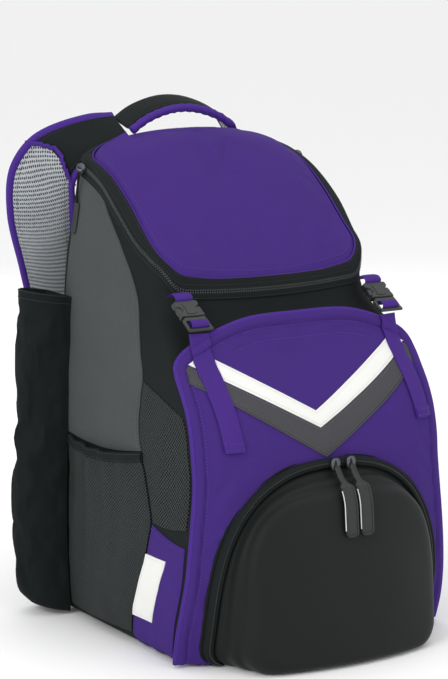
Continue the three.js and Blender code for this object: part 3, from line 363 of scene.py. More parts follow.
def tubePart(line, radius, look=0, sides=8, flat=1.0, closed=False):
    # A round or flattened piping along a line of places.
    line = np.asarray(line, float)
    count = len(line)
    ahead = np.roll(line, -1, axis=0) if closed else np.concatenate([line[1:], line[-1:]])
    behind = np.roll(line, 1, axis=0) if closed else np.concatenate([line[:1], line[:-1]])
    along = ahead - behind
    along /= np.maximum(1e-9, np.linalg.norm(along, axis=1))[:, None]
    lifts = np.zeros_like(line)
    guide = np.array([0.0, 0.0, 1.0]) if abs(along[0][2]) < 0.9 else np.array([0.0, 1.0, 0.0])
    for i in range(count):
        guide = guide - along[i] * np.dot(guide, along[i])
        guide /= max(1e-9, np.linalg.norm(guide))
        lifts[i] = guide
    beside = np.cross(along, lifts)
    beside /= np.maximum(1e-9, np.linalg.norm(beside, axis=1))[:, None]
    up = np.cross(beside, along)
    radii = np.broadcast_to(np.asarray(radius, float), (count,))
    rings = []
    for i in range(count):
        angles = [2 * math.pi * k / sides for k in range(sides)]
        rings.append([line[i] + radii[i] * (beside[i] * math.cos(a) + up[i] * math.sin(a) * flat)
                      for a in angles])
    if closed:
        rings.append(rings[0])
    return ringsPart(rings, look, not closed)


def makePiece(name, parts, materials, nodes=(), sharp=50.0):
    places, faces, grain, numbers = [], [], [], []
    start = 0
    for part in parts:
        places.append(toMetres(part[0]))
        grain.append(part[2])
        faces += [tuple(start + i for i in face) for face in part[1]]
        numbers += part[3]
        start += len(part[0])
    mesh = bpy.data.meshes.new(name)
    mesh.from_pydata(np.concatenate(places).tolist(), [], faces)
    layer = mesh.uv_layers.new(name="grain")
    corners = np.empty(len(mesh.loops), dtype=np.int32)
    mesh.loops.foreach_get("vertex_index", corners)
    layer.data.foreach_set("uv", np.concatenate(grain)[corners].astype(np.float32).ravel())
    for look in materials:
        mesh.materials.append(looks[look])
    mesh.polygons.foreach_set("material_index", np.array(numbers, dtype=np.int32))
    work = bmesh.new()
    work.from_mesh(mesh)
    bmesh.ops.remove_doubles(work, verts=work.verts, dist=1e-7)
    bmesh.ops.recalc_face_normals(work, faces=work.faces)
    work.to_mesh(mesh)
    work.free()
    mesh.shade_smooth()
    mesh.set_sharp_from_angle(angle=math.radians(sharp))
    piece = bpy.data.objects.new(name, mesh)
    bpy.context.scene.collection.objects.link(piece)
    finishPiece(piece, nodes)
    return piece


def finishPiece(piece, nodes):
    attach(piece, "root")
    if nodes:
        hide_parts(*nodes)


def normalsOf(grid, away, wraps=False):
    # Unit normals of a grid, turned to the side that the direction away points to.
    if wraps:
        across = np.roll(grid, -1, axis=1) - np.roll(grid, 1, axis=1)
    else:
        across = np.gradient(grid, axis=1)
    normals = np.cross(across, np.gradient(grid, axis=0))
    normals /= np.maximum(1e-9, np.linalg.norm(normals, axis=2))[..., None]
    if away is None:
        middle = grid.reshape(-1, 3).mean(axis=0)
        sign = np.sign(np.sum(normals * (grid - middle)))
    else:
        sign = np.sign(np.sum(normals * np.asarray(away, float)))
    return normals * (sign or 1.0)


def ruffle(grid, normals, amount, grain, seed, stretch=(1.0, 1.0, 1.0), where=None):
    # Slack cloth: moves the places in and out by a smooth noise of the given size.
    moved = grid.copy()
    flat, flatNormals = moved.reshape(-1, 3), normals.reshape(-1, 3)
    shares = None if where is None else np.asarray(where, float).reshape(-1)
    for k in range(len(flat)):
        place = Vector([flat[k][axis] * stretch[axis] / grain for axis in range(3)]) + Vector((seed,
                                                                                               seed * 1.7, 0))
        push = amount * (noise.noise(place) + 0.4 * noise.noise(place * 2.3))
        flat[k] += flatNormals[k] * push * (1.0 if shares is None else shares[k])
    return moved


settling = {"steps": 14, "quality": 5, "mass": 0.25, "tension": 18, "compression": 10, "bending": 0.6,
            "air": 3}


def settled(grid, held, away, push, slack, limit, wraps=False):
    # Cloth sewn down where held is 1 finds its own fullness and folds under a light pressure from inside.
    rows, columns = grid.shape[:2]
    start = toMetres(grid)
    faces = quadsOf(rows, columns, 0, wraps)
    a, b, c = (start[i] for i in faces[len(faces) // 2][:3])
    if np.dot(np.cross(b - a, c - a), away) < 0:
        faces = [face[::-1] for face in faces]
    mesh = bpy.data.meshes.new("settling")
    mesh.from_pydata(start.tolist(), [], faces)
    sheet = bpy.data.objects.new("settling", mesh)
    scene = bpy.context.scene
    scene.collection.objects.link(sheet)
    sewn = sheet.vertex_groups.new(name="sewn")
    for index, share in enumerate(np.asarray(held, float).ravel()):
        if share > 0:
            sewn.add([index], float(share), "REPLACE")
    cloth = sheet.modifiers.new("cloth", "CLOTH")
    cloth.settings.quality = settling["quality"]
    cloth.settings.mass = settling["mass"]
    cloth.settings.tension_stiffness = settling["tension"]
    cloth.settings.compression_stiffness = settling["compression"]
    cloth.settings.bending_stiffness = settling["bending"]
    cloth.settings.air_damping = settling["air"]
    cloth.settings.use_pressure = True
    cloth.settings.uniform_pressure_force = push
    cloth.settings.shrink_min = -slack
    cloth.settings.vertex_group_mass = "sewn"
    cloth.settings.effector_weights.gravity = 0
    cloth.collision_settings.use_collision = False
    cloth.point_cache.frame_start = 1
    cloth.point_cache.frame_end = settling["steps"]
    for step in range(1, settling["steps"] + 1):
        scene.frame_set(step)
        bpy.context.view_layer.update()
    ready = sheet.evaluated_get(bpy.context.evaluated_depsgraph_get())
    places = np.empty(len(mesh.vertices) * 3, dtype=np.float32)
    ready.data.vertices.foreach_get("co", places)
    scene.frame_set(1)
    bpy.data.objects.remove(sheet)
    moved = (places.reshape(-1, 3) - start) * 1000
    far = np.linalg.norm(moved, axis=1, keepdims=True)
    moved = moved * np.minimum(1.0, limit / np.maximum(far, 1e-6))
    print("settled cloth moved", round(float(far.mean()), 2), "mm on average, at most",
          round(float(far.max()), 2))
    return grid + moved.reshape(grid.shape)


def treeOf(parts):
    places, faces, start = [], [], 0
    for part in parts:
        places += [tuple(p) for p in part[0]]
        faces += [tuple(start + i for i in face) for face in part[1]]
        start += len(part[0])
    return BVHTree.FromPolygons(places, faces)


def castOn(tree, origin, way):
    hit, normal, _, _ = tree.ray_cast(Vector(origin), Vector(way))
    if hit is None:
        return None, None
    if normal.dot(Vector(way)) > 0:
        normal = -normal
    return np.array(hit), np.array(normal)


def coons(bottom, top, left, right):
    # Fills the space between four boundary lines; each takes a share and gives a place.
    corners = [bottom(0.0), bottom(1.0), top(0.0), top(1.0)]

    def place(u, v):
        edges = (1 - v) * bottom(u) + v * top(u) + (1 - u) * left(v) + u * right(v)
        flat = (1 - v) * ((1 - u) * corners[0] + u * corners[1]) + v * ((1 - u) * corners[2] + u * corners[3])
        return edges - flat
    return place


def gridFrom(place, columns, rows):
    return np.array([[place(i / columns, j / rows) for i in range(columns + 1)] for j in range(rows + 1)])


# Rows of small repeats by Geometry Nodes: stitches and zipper coils


def repeatGroup():
    group = bpy.data.node_groups.new("row of repeats", "GeometryNodeTree")
    face = group.interface
    face.new_socket("Line", in_out="INPUT", socket_type="NodeSocketGeometry")
    for name, kind, value in (("Spacing", "Float", 0.003), ("Size", "Vector", (0.002, 0.001, 0.001)),
                              ("Unevenness", "Float", 0.1), ("Seed", "Int", 7)):
        face.new_socket(name, in_out="INPUT", socket_type="NodeSocket" + kind).default_value = value
    face.new_socket("Look", in_out="INPUT", socket_type="NodeSocketMaterial")
    face.new_socket("Row", in_out="OUTPUT", socket_type="NodeSocketGeometry")
    given = addNode(group, "NodeGroupInput").outputs
    line = addNode(group, "GeometryNodeMeshToCurve", {"Mesh": given["Line"]})
    spaced = addNode(group, "GeometryNodeResampleCurve", {"Curve": line.outputs["Curve"],
                                                          "Length": given["Spacing"]}, mode="LENGTH")
    bead = addNode(group, "GeometryNodeMeshIcoSphere", {"Radius": 0.5, "Subdivisions": 1})
    lift = addNode(group, "GeometryNodeInputNamedAttribute", {"Name": "lift"}, data_type="FLOAT_VECTOR")
    along = addNode(group, "GeometryNodeInputTangent")
    first = addNode(group, "FunctionNodeAlignRotationToVector", {"Vector": along.outputs[0]}, axis="X")
    turned = addNode(group, "FunctionNodeAlignRotationToVector",
                     {"Rotation": first.outputs[0], "Vector": lift.outputs["Attribute"]}, axis="Z",
                     pivot_axis="X")
    low = mathOn(group, "SUBTRACT", 1.0, given["Unevenness"])
    high = mathOn(group, "ADD", 1.0, given["Unevenness"])
    sway = addNode(group, "FunctionNodeRandomValue", {2: low, 3: high, "Seed": given["Seed"]})
    size = addNode(group, "ShaderNodeVectorMath", {0: given["Size"], "Scale": sway.outputs[1]},
                   operation="SCALE")
    beads = addNode(group, "GeometryNodeInstanceOnPoints",
                    {"Points": spaced.outputs["Curve"], "Instance": bead.outputs["Mesh"],
                     "Rotation": turned.outputs[0], "Scale": size.outputs[0]})
    real = addNode(group, "GeometryNodeRealizeInstances", {"Geometry": beads.outputs["Instances"]})
    soft = addNode(group, "GeometryNodeSetShadeSmooth", {"Geometry": real.outputs["Geometry"]})
    dressed = addNode(group, "GeometryNodeSetMaterial", {"Geometry": soft.outputs["Geometry"],
                                                         "Material": given["Look"]})
    addNode(group, "NodeGroupOutput", {"Row": dressed.outputs["Geometry"]})
    return group


repeats = repeatGroup()


def makeRow(name, lines, spacing, size, look, nodes=(), unevenness=0.1):
    # One bead for each stitch or tooth, along lines of (places, lifts).
    places, lifts, edges = [], [], []
    for line, lift in lines:
        start = len(places)
        places += toMetres(line).tolist()
        lifts += np.asarray(lift, float).tolist()
        edges += [(start + i, start + i + 1) for i in range(len(line) - 1)]
    mesh = bpy.data.meshes.new(name)
    mesh.from_pydata(places, edges, [])
    stored = mesh.attributes.new("lift", "FLOAT_VECTOR", "POINT")
    stored.data.foreach_set("vector", np.array(lifts, dtype=np.float32).ravel())
    guide = bpy.data.objects.new(name + "_guide", mesh)
    bpy.context.scene.collection.objects.link(guide)
    modifier = guide.modifiers.new("row", "NODES")
    modifier.node_group = repeats
    values = {"Spacing": spacing * 0.001, "Size": tuple(s * 0.001 for s in size), "Unevenness": unevenness,
              "Seed": 7, "Look": looks[look]}
    for item in repeats.interface.items_tree:
        if item.in_out == "INPUT" and item.name in values:
            modifier[item.identifier] = values[item.name]
    guide.update_tag()
    bpy.context.view_layer.update()
    ready = guide.evaluated_get(bpy.context.evaluated_depsgraph_get())
    baked = bpy.data.meshes.new_from_object(ready)
    bpy.data.objects.remove(guide)
    if not baked.materials:
        baked.materials.append(looks[look])
    piece = bpy.data.objects.new(name, baked)
    bpy.context.scene.collection.objects.link(piece)
    finishPiece(piece, nodes)
    return piece


# The camera and the light

viewpoint = {"azimuth": -31.75, "elevation": 10.15, "distance": 2.5, "lens": 129.4, "targetX": -0.01445,
             "targetZ": 0.2893}


def makeCamera():
    turn, rise = math.radians(viewpoint["azimuth"]), math.radians(viewpoint["elevation"])
    back = Vector((math.sin(turn) * math.cos(rise), -math.cos(turn) * math.cos(rise), math.sin(rise)))
    data = bpy.data.cameras.new("camera")
    data.lens = viewpoint["lens"]
    data.sensor_width = 36
    camera = bpy.data.objects.new("camera", data)
    bpy.context.scene.collection.objects.link(camera)
    target = Vector((viewpoint["targetX"], middleY * 0.001, viewpoint["targetZ"]))
    camera.location = target + back * viewpoint["distance"]
    camera.rotation_mode = "QUATERNION"
    camera.rotation_quaternion = (-back).to_track_quat("-Z", "Y")
    bpy.context.scene.camera = camera


# Each lamp has its place, the height that it points at, its width in metres and its power in watts.
lamps = {"key": ((-2.3, -1.0, 1.6), 0.25, 1.2, 24),
         "fill": ((0.7, -2.3, 1.1), 0.25, 1.6, 6),
         "top": ((0.1, -0.2, 2.4), 0.3, 1.5, 9),
         "rear": ((0.6, 1.9, 1.2), 0.3, 1.6, 5)}


def addLight(name, place, height, width, power):
    data = bpy.data.lights.new(name, "AREA")
    data.shape = "SQUARE"
    data.size = width
    data.energy = power
    light = bpy.data.objects.new(name, data)
    bpy.context.scene.collection.objects.link(light)
    light.location = place
    light.rotation_mode = "QUATERNION"
    light.rotation_quaternion = (Vector((0, 0, height)) - Vector(place)).to_track_quat("-Z", "Y")


studio = {"world": 0.92, "paper": 0.95, "floorRadius": 30.0, "floorSides": 72}


def makeStudio():
    world = bpy.data.worlds.new("studio")
    world.use_nodes = True
    world.node_tree.nodes["Background"].inputs["Color"].default_value = (1, 1, 1, 1)
    world.node_tree.nodes["Background"].inputs["Strength"].default_value = studio["world"]
    bpy.context.scene.world = world
    bpy.context.scene.view_settings.view_transform = "Standard"
    for name, (place, height, width, power) in lamps.items():
        addLight(name, place, height, width, power)
    count, radius = studio["floorSides"], studio["floorRadius"]
    turns = [2 * math.pi * k / count for k in range(count)]
    places = [(0, 0, 0)] + [(radius * math.cos(a), radius * math.sin(a), 0) for a in turns]
    mesh = bpy.data.meshes.new("pale_floor")
    mesh.from_pydata(places, [], [(0, 1 + k, 1 + (k + 1) % count) for k in range(count)])
    mesh.shade_smooth()
    pale, _, shader = emptyMaterial("pale studio paper")
    shader.inputs["Base Color"].default_value = (studio["paper"],) * 3 + (1,)
    shader.inputs["Roughness"].default_value = 0.95
    mesh.materials.append(pale)
    floor = bpy.data.objects.new("pale_floor", mesh)
    bpy.context.scene.collection.objects.link(floor)


makeCamera()
makeStudio()
print("camera and light ready")

# Forms shared by many pieces

form = {"lidTop": 498.0, "sideHalf": 155.0, "front": 170.0, "wall": 2.4, "baseRound": 16.0,
        "frontCorner": 10.0,
        "rimCorner": 30.0, "backCorner": 18.0, "rimDepth": 68.0, "rimBow": 7.0, "rimHalf": 124.0,
        "rimFront": 351.0, "rimBack": 471.0, "flapTop": 332.0, "flapBottom": 4.0, "flapHalf": 142.0,
        "flapThick": 5.0, "flapClear": 1.6, "flapCurl": 13.0}

flapRows = [(0.0, 0.89, 1.09), (0.09, 0.935, 1.1), (0.18, 0.972, 1.085), (0.27, 0.995, 1.06),
            (0.36, 1.0, 1.04),
            (0.54, 0.995, 1.0), (0.62, 0.98, 1.0), (0.7, 0.945, 1.0), (0.76, 0.893, 1.0), (0.82, 0.815, 1.0),
            (0.88, 0.735, 0.992), (0.94, 0.695, 0.985), (1.0, 0.67, 0.98)]
sideRows = [(0.0, 0.975), (0.1, 0.995), (0.2, 1.0), (0.4, 0.985), (0.54, 0.97), (0.62, 0.955), (0.7, 0.94),
            (0.82, 0.885), (0.92, 0.82), (1.0, 0.77)]
rimRows = [(-0.62, 0.742), (-0.545, 0.76), (-0.464, 0.797), (-0.196, 0.841), (0.089, 0.9), (0.446, 0.9575),
           (1.0, 1.0)]
lidRows = [(-0.56, 0.731, -0.01), (-0.45, 0.767, -0.006), (-0.2, 0.828, 0.012), (0.09, 0.901, 0.029),
           (0.42, 0.967, 0.045), (0.7, 0.991, 0.045), (1.0, 1.0, 0.038)]


def flapHalfAt(z):
    return form["flapHalf"] * tableAt(flapRows, z / form["flapTop"], 2)


def flapY(x, z):
    deep = form["front"] * tableAt(flapRows, z / form["flapTop"], 1)
    return -deep + form["flapCurl"] * abs(x / flapHalfAt(z)) ** 4


def rimFade(z):
    start = 0.86 * form["flapTop"]
    return smooth((z - start) / (form["rimFront"] - start))


def sideHalfAt(z):
    return form["sideHalf"] * tableAt(sideRows, z / form["lidTop"])


def frontHalfAt(z):
    low = flapHalfAt(min(z, form["flapTop"])) - 1.5
    return min(mix(low, form["rimHalf"] - 0.5, rimFade(z)), sideHalfAt(z))


def frontWallY(x, z):
    low = flapY(x, min(z, form["flapTop"])) + form["flapThick"] + form["flapClear"]
    return mix(low, -form["rimDepth"] + form["rimBow"] * (x / form["rimHalf"]) ** 2, rimFade(z))


def baseTuck(z):
    r = form["baseRound"]
    return r - math.sqrt(r * r - (r - z) ** 2) if z < r else 0.0


def rimHeight(y):
    return form["rimBack"] * tableAt(rimRows, y / backWall)


steps = {"front": 20, "frontCorner": 8, "side": 26, "backCorner": 6, "back": 12}
halfCount = sum(steps.values())


def loopPoint(i, frontHalf, sideHalf, frontY, back, frontRound, backRound, grow=0.0):
    # One place of a loop with straight front and back and round corners; i runs from the front's middle to
    # the
    # back's middle.
    frontRound, backRound = max(2.0, frontRound + grow), max(2.0, backRound + grow)
    straight = frontHalf + grow - frontRound
    if i <= steps["front"]:
        x = straight * i / steps["front"]
        return x, frontY(x) - grow
    i -= steps["front"]
    cornerY = frontY(straight) - grow + frontRound
    if i <= steps["frontCorner"]:
        angle = i / steps["frontCorner"] * math.pi / 2
        return straight + frontRound * math.sin(angle), cornerY - frontRound * math.cos(angle)
    i -= steps["frontCorner"]
    sideEnd = back + grow - backRound
    if i <= steps["side"]:
        t = i / steps["side"]
        return mix(frontHalf, sideHalf, t * (2 - t)) + grow, mix(cornerY, sideEnd, t)
    i -= steps["side"]
    if i <= steps["backCorner"]:
        angle = i / steps["backCorner"] * math.pi / 2
        return (sideHalf + grow - backRound + backRound * math.cos(angle),
                sideEnd + backRound * math.sin(angle))
    i -= steps["backCorner"]
    return (sideHalf + grow - backRound) * (1 - i / steps["back"]), back + grow


def bodyPoint(i, z, grow=0.0):
    cornerRound = mix(form["frontCorner"], form["rimCorner"], rimFade(z))
    return loopPoint(i, frontHalfAt(z), sideHalfAt(z), lambda x: frontWallY(x, z), backWall, cornerRound,
                     form["backCorner"], grow - baseTuck(z))


def mirrorHalf(half):
    # A whole loop from its right half.
    left = [(-x, y, z) for x, y, z in half[1:-1][::-1]]
    return np.array(half + left)


lastLevel = 314.0  # the last level loop of the body; above it the loops lean with the rim


def rimPoint(i, share, grow=0.0):
    x, y = bodyPoint(i, lastLevel)
    z = lastLevel
    for _ in range(6):
        z = mix(lastLevel, rimHeight(y), share)
        x, y = bodyPoint(i, z)
    if grow:
        x, y = bodyPoint(i, z, grow)
    return x, y, z


def makeBody():
    # The black shell: slack cloth with faint creases, open along the zipper line.
    levels = [0.0, 2.0, 5.0, 9.0, 13.0, 17.0] + [17.0 + 297.0 * k / 44 for k in range(1, 45)]
    shares = [k / 14 for k in range(1, 15)]
    outer = [mirrorHalf([bodyPoint(i, z) + (z,) for i in range(halfCount + 1)]) for z in levels]
    outer += [mirrorHalf([rimPoint(i, share) for i in range(halfCount + 1)]) for share in shares]
    grid = np.array(outer)
    normals = normalsOf(grid, None, True)
    heights = grid[..., 2]
    calm = np.clip(heights / 20.0, 0, 1) * np.clip((grid[-1, :, 2] - heights) / 22.0, 0, 1)
    grid = ruffle(grid, normals, 1.5, 46.0, 3.0, (1.0, 1.0, 1.5), calm)
    pinch = np.exp(-((heights - 330) / 10) ** 2) * (grid[..., 1] < -40) * 1.6
    grid = grid - normals * (pinch * calm)[..., None]
    inner = grid - normals * form["wall"]
    inner[0, :, 2] += form["wall"]
    inner[1, :, 2] = np.maximum(inner[1, :, 2], form["wall"] + 0.6)
    rings = np.concatenate([grid, inner[::-1]])
    part = ringsPart(rings)
    return makePiece("body_cloth", [part], ["blackCloth"], ["main_body"]), treeOf([part])


bodyPiece, bodyTree = makeBody()
print("body", len(bodyPiece.data.vertices))


def onSide(side, y, z, away=0.0):
    hit, normal = castOn(bodyTree, (side * 400.0, y, z), (-side, 0, 0))
    if hit is None:
        return np.array([side * (sideHalfAt(z) + away), y, z]), np.array([side, 0.0, 0.0])
    return hit + np.array([side * away, 0, 0]), normal


# The lid with its black strip and zipper

lid = {"half": 117.0, "front": 64.0, "bow": 6.0, "back": 107.0, "corner": 25.0, "backCorner": 26.0,
       "thick": 4.0,
       "puff": 3.0, "roll": 5.0}


def lidHeight(x, y):
    middle, drop = tableAt(lidRows, y / backWall, 1), tableAt(lidRows, y / backWall, 2)
    return form["lidTop"] * (middle - drop * abs(x / lid["half"]) ** 2.4)


def lidEdge(i, grow=0.0):
    return loopPoint(i, lid["half"], lid["half"],
                     lambda x: -lid["front"] + lid["bow"] * (x / lid["half"]) ** 2,
                     lid["back"], lid["corner"], lid["backCorner"], grow)


def lidRing(share, below, puff=0.0):
    middle = (lid["back"] - lid["front"]) / 2
    half = []
    for i in range(halfCount + 1):
        x, y = lidEdge(i)
        x, y = x * share, mix(middle, y, share)
        half.append((x, y, lidHeight(x, y) - below + puff))
    return mirrorHalf(half)


def makeLid():
    top = []
    for k in range(1, 27):
        share = (k / 26) ** 0.9
        edge = (1 - share) * 95
        puff = lid["puff"] * (1 - math.exp(-edge / 16)) - 0.25 * math.exp(-((edge - 6.0) / 1.4) ** 2)
        roll = lid["roll"] * (1 - math.sqrt(max(0.0, 1 - max(0.0, 1 - edge / 4.0) ** 2)))
        top.append(lidRing(share, min(roll, lid["thick"] * 0.8), puff))
    grid = np.array(top)
    calm = np.linspace(1, 0.1, len(top))[:, None] * np.ones((1, grid.shape[1]))
    grid = ruffle(grid, normalsOf(grid, (0, 0, 1), True), 0.9, 70.0, 9.0, (1, 1, 0.6), calm)
    held = np.zeros(grid.shape[:2])
    held[-4:] = 1.0
    held[:1] = 0.6
    grid = settled(grid, held, (0, 0, 1), 1.2, 0.012, 3.0, True)
    bottom = np.array([lidRing((k / 26) ** 0.9, lid["thick"]) for k in (26, 18, 9, 1)])
    places, faces, _, numbers = ringsPart(np.concatenate([grid, bottom]))
    part = (places, faces, places[:, :2] * 0.001, numbers)
    piece = makePiece("lid_pad", [part], ["purpleCloth"], ["lid_panel"])
    tree = treeOf([part])
    edge = lidRing(1.0, 1.2) * np.array([1.004, 1.0, 1.0])
    piping = tubePart(edge, 1.0, 0, 8, closed=True)
    makePiece("lid_piping", [piping], ["highlitPurpleEdge"])
    line = lidRing(0.955, 0.0, 0.0)
    spots, lifts = [], []
    for place in np.concatenate([line, line[:1]]):
        hit, normal = castOn(tree, (place[0], place[1], 600.0), (0, 0, -1))
        if hit is not None:
            spots.append(hit + normal * 0.25)
            lifts.append(normal)
    makeRow("lid_stitches", [(spots, lifts)], 3.4, (2.5, 0.75, 0.6), "purpleThread")


def gussetGrid():
    rows = []
    for k in range(11):
        share = k / 10
        half = []
        for i in range(halfCount + 1):
            x, y = lidEdge(i, 0.5)
            start = np.array([x, y, lidHeight(x, y) - lid["thick"] / 2 + 1.0])
            rx, ry, rz = rimPoint(i, 1.0)
            place = mix(start, np.array([rx, ry, rz + 2.5]), share)
            bulge = 2.8 * math.sin(math.pi * share)
            half.append((place[0] * (1 + bulge / form["sideHalf"]), place[1], place[2] + bulge))
        rows.append(mirrorHalf(half))
    return np.array(rows)


def makeGusset():
    grid = gussetGrid()
    normals = normalsOf(grid, (0, -0.3, 1), True)
    part = sheetPart(grid, grid - normals * 1.9, wraps=True)
    makePiece("lid_strip", [part], ["tape"], ["lid_gusset"])
    lines = []
    for j in (2, 8):
        row = grid[j] + normals[j] * 0.3
        lines.append((np.concatenate([row, row[:1]]), np.concatenate([normals[j], normals[j][:1]])))
    makeRow("lid_strip_stitches", lines, 3.2, (2.3, 0.6, 0.5), "blackThread")


def zipperLine():
    # The rim from the left back corner round the front to the right one, with the direction outwards.
    around = 2 * halfCount
    end = steps["front"] + steps["frontCorner"] + steps["side"]
    loop = mirrorHalf([rimPoint(i, 1.0) for i in range(halfCount + 1)])
    under = mirrorHalf([rimPoint(i, 0.86) for i in range(halfCount + 1)])
    order = [i % around for i in range(-end, end + 1)]
    places, below, outs = [], [], []
    for i in order:
        before, after = loop[(i - 1) % around], loop[(i + 1) % around]
        out = np.array([after[1] - before[1], before[0] - after[0], 0.0])
        places.append(loop[i])
        below.append(under[i])
        outs.append(out / np.linalg.norm(out))
    return np.array(places), np.array(below), np.array(outs)


def makeLidZipper():
    line, below, outs = zipperLine()
    down = below - line
    down /= np.linalg.norm(down, axis=1)[:, None]
    rows = []
    for drop, away in ((-4.6, 0.4), (-4.2, 1.5), (-1.6, 1.7), (-1.2, 0.9), (1.2, 0.9), (1.6, 1.7), (4.6, 1.8),
                       (8.0, 1.5), (8.4, 0.4)):
        rows.append(line + down * drop + outs * away)
    grid = np.array(rows)
    back = np.array([line + down * drop + outs * 0.1 for drop in np.linspace(-4.6, 8.4, len(rows))])
    makePiece("lid_zipper_tape", [sheetPart(grid, back)], ["tape"], ["lid_zipper"])
    coil = line + outs * 1.5
    makeRow("lid_zipper_coil", [(coil + down * 1.1, outs), (coil - down * 1.1, outs)], 2.7, (1.5, 2.5, 1.9),
            "coil",
            unevenness=0.02)
    seam = line + down * 6.6 + outs * 2.0
    makeRow("lid_zipper_stitches", [(seam, outs)], 3.0, (2.2, 0.6, 0.5), "blackThread")


makeLid()
makeGusset()
makeLidZipper()
print("lid done")

# The front flap

flapOutline = [(0.0, 1.0), (0.42, 0.994), (0.69, 0.961), (0.83, 0.932), (0.915, 0.908), (0.968, 0.88),
               (0.985, 0.845)]
flap = {"welt": 8.5, "weltHeight": 1.6, "puff": 1.6, "columns": 96, "rows": 104}


def flapBorders():
    half, top = form["flapHalf"], form["flapTop"]
    right = [np.array([x * half, z * top]) for x, z in flapOutline]
    arch = [np.array([-p[0], p[1]]) for p in right[:0:-1]] + right
    corner = flapOutline[-1][1] * top
    low = form["flapBottom"]

    def bottomEdge(u):
        return np.array([(2 * u - 1) * flapHalfAt(low), low])

    def topEdge(u):
        return curveThrough(arch, u)

    def sideEdge(sign):
        def at(v):
            z = mix(low, corner, v)
            lean = mix(flapHalfAt(z), flapOutline[-1][0] * half, smooth((v - 0.7) / 0.3))
            return np.array([sign * lean, z])
        return at
    return bottomEdge, topEdge, sideEdge(-1), sideEdge(1)


def flapRim(inset):
    # The flap's edge line from the lower left round the top to the lower right, moved inwards.
    _, topEdge, leftEdge, rightEdge = flapBorders()
    line = [leftEdge(k / 60) for k in range(60)] + [topEdge(k / 90) for k in range(91)]
    line += [rightEdge(1 - k / 60) for k in range(1, 61)]
    line = np.array(line)
    along = np.gradient(line, axis=0)
    inwards = np.stack([along[:, 1], -along[:, 0]], axis=1)
    inwards /= np.linalg.norm(inwards, axis=1)[:, None]
    return line + inwards * inset


def edgeDistance(points, line):
    best = np.full(len(points), 1e9)
    for start in range(0, len(line) - 1):
        a, b = line[start], line[start + 1]
        along = b - a
        t = np.clip(((points - a) @ along) / max(1e-9, along @ along), 0, 1)
        best = np.minimum(best, np.linalg.norm(points - (a + t[:, None] * along), axis=1))
    return best


def makeFlap():
    flat = gridFrom(coons(*flapBorders()), flap["columns"], flap["rows"])
    rows, columns = flat.shape[:2]
    away = edgeDistance(flat.reshape(-1, 2), flapRim(0.0)).reshape(rows, columns)
    grid = np.array([[(flat[j, i, 0], flapY(flat[j, i, 0], flat[j, i, 1]), flat[j, i, 1])
                      for i in range(columns)]
                     for j in range(rows)])
    normals = normalsOf(grid, (0, -1, 0))
    welt = flap["weltHeight"] * np.sqrt(np.clip(1 - ((away - flap["welt"] / 2) / (flap["welt"] / 2)) ** 2,
                                                0, 1))
    inside = np.clip(away - flap["welt"], 0, None)
    puff = flap["puff"] * (1 - np.exp(-inside / 12))
    groove = 0.9 * np.exp(-((away - flap["welt"] - 0.6) / 1.3) ** 2)
    topSeam = 0.8 * np.exp(-((away - 21) / 1.5) ** 2) * np.clip((flat[..., 1] - 296) / 10, 0, 1)
    grid = grid + normals * (welt + puff - groove - topSeam)[..., None]
    calm = np.clip(inside / 14, 0, 1) * np.clip((flat[..., 1] - 4) / 30, 0.2, 1)
    grid = ruffle(grid, normals, 0.9, 60.0, 5.0, (1, 1, 1), calm)
    hem = np.exp(-np.clip(np.abs(flat[..., 0]) - 120, 0, None) / 30) * np.exp(-flat[..., 1] / 28)
    grid = grid + normals * (1.0 * np.sin(flat[..., 0] / 7.0) * hem * calm)[..., None]
    back = grid - normals * (form["flapThick"] - 0.6 + (welt + puff - groove))[..., None]
    held = np.clip(1.2 - inside / 5, 0, 1)
    grid = settled(grid, held, (0, -1, 0), 0.8, 0.01, 2.6)
    places, faces, _, numbers = sheetPart(grid, back)
    part = (places, faces, places[:, ::2] * 0.001, numbers)
    piece = makePiece("flap_pad", [part], ["purpleCloth"], ["front_flap"])
    return treeOf([part])


flapTree = makeFlap()


def onFlap(x, z, away=0.0):
    hit, normal = castOn(flapTree, (x, -400.0, z), (0, 1, 0))
    if hit is None:
        return np.array([x, flapY(x, z) - away, z]), np.array([0.0, -1.0, 0.0])
    return hit + normal * away, normal


def lineOnFlap(points, away=0.2):
    pairs = [onFlap(x, z, away) for x, z in points]
    return np.array([p for p, _ in pairs]), np.array([n for _, n in pairs])


def makeFlapTrim():
    rim = flapRim(0.0)
    places = np.array([(x, flapY(x, z) + 2.2, z) for x, z in rim])
    makePiece("flap_piping", [tubePart(places, 2.6, 0, 10)], ["highlitPurpleEdge"])
    upper = [p for p in flapRim(22.5) if p[1] > 300]
    rows = [lineOnFlap(flapRim(flap["welt"] + 2.4)), lineOnFlap(upper)]
    makeRow("flap_stitches", rows, 3.3, (2.5, 0.75, 0.6), "purpleThread")


makeFlapTrim()
print("flap done")

whiteTop = [(0.0, 243.0), (103.7, 298.8), (117.9, 297.8), (127.0, 292.8)]
greyTop = [(0.0, 226.5), (127.0, 291.8), (131.4, 287.2), (132.0, 276.0)]
greyLow = [(0.0, 200.0), (125.0, 274.2), (132.0, 275.6)]
whiteLow = [(0.0, 227.0), (127.0, 292.8)]


def vPoint(line, share, inset=0.0):
    # One place of a V line; share runs from -1 to 1 and the lowest place lies at the line's own apex.
    rows, apex, reach = line
    x = mix(apex, math.copysign(reach, share), abs(share))
    height = float(np.interp(abs(share) * reach, [r[0] for r in rows], [r[1] for r in rows]))
    return np.array([x, height + inset])


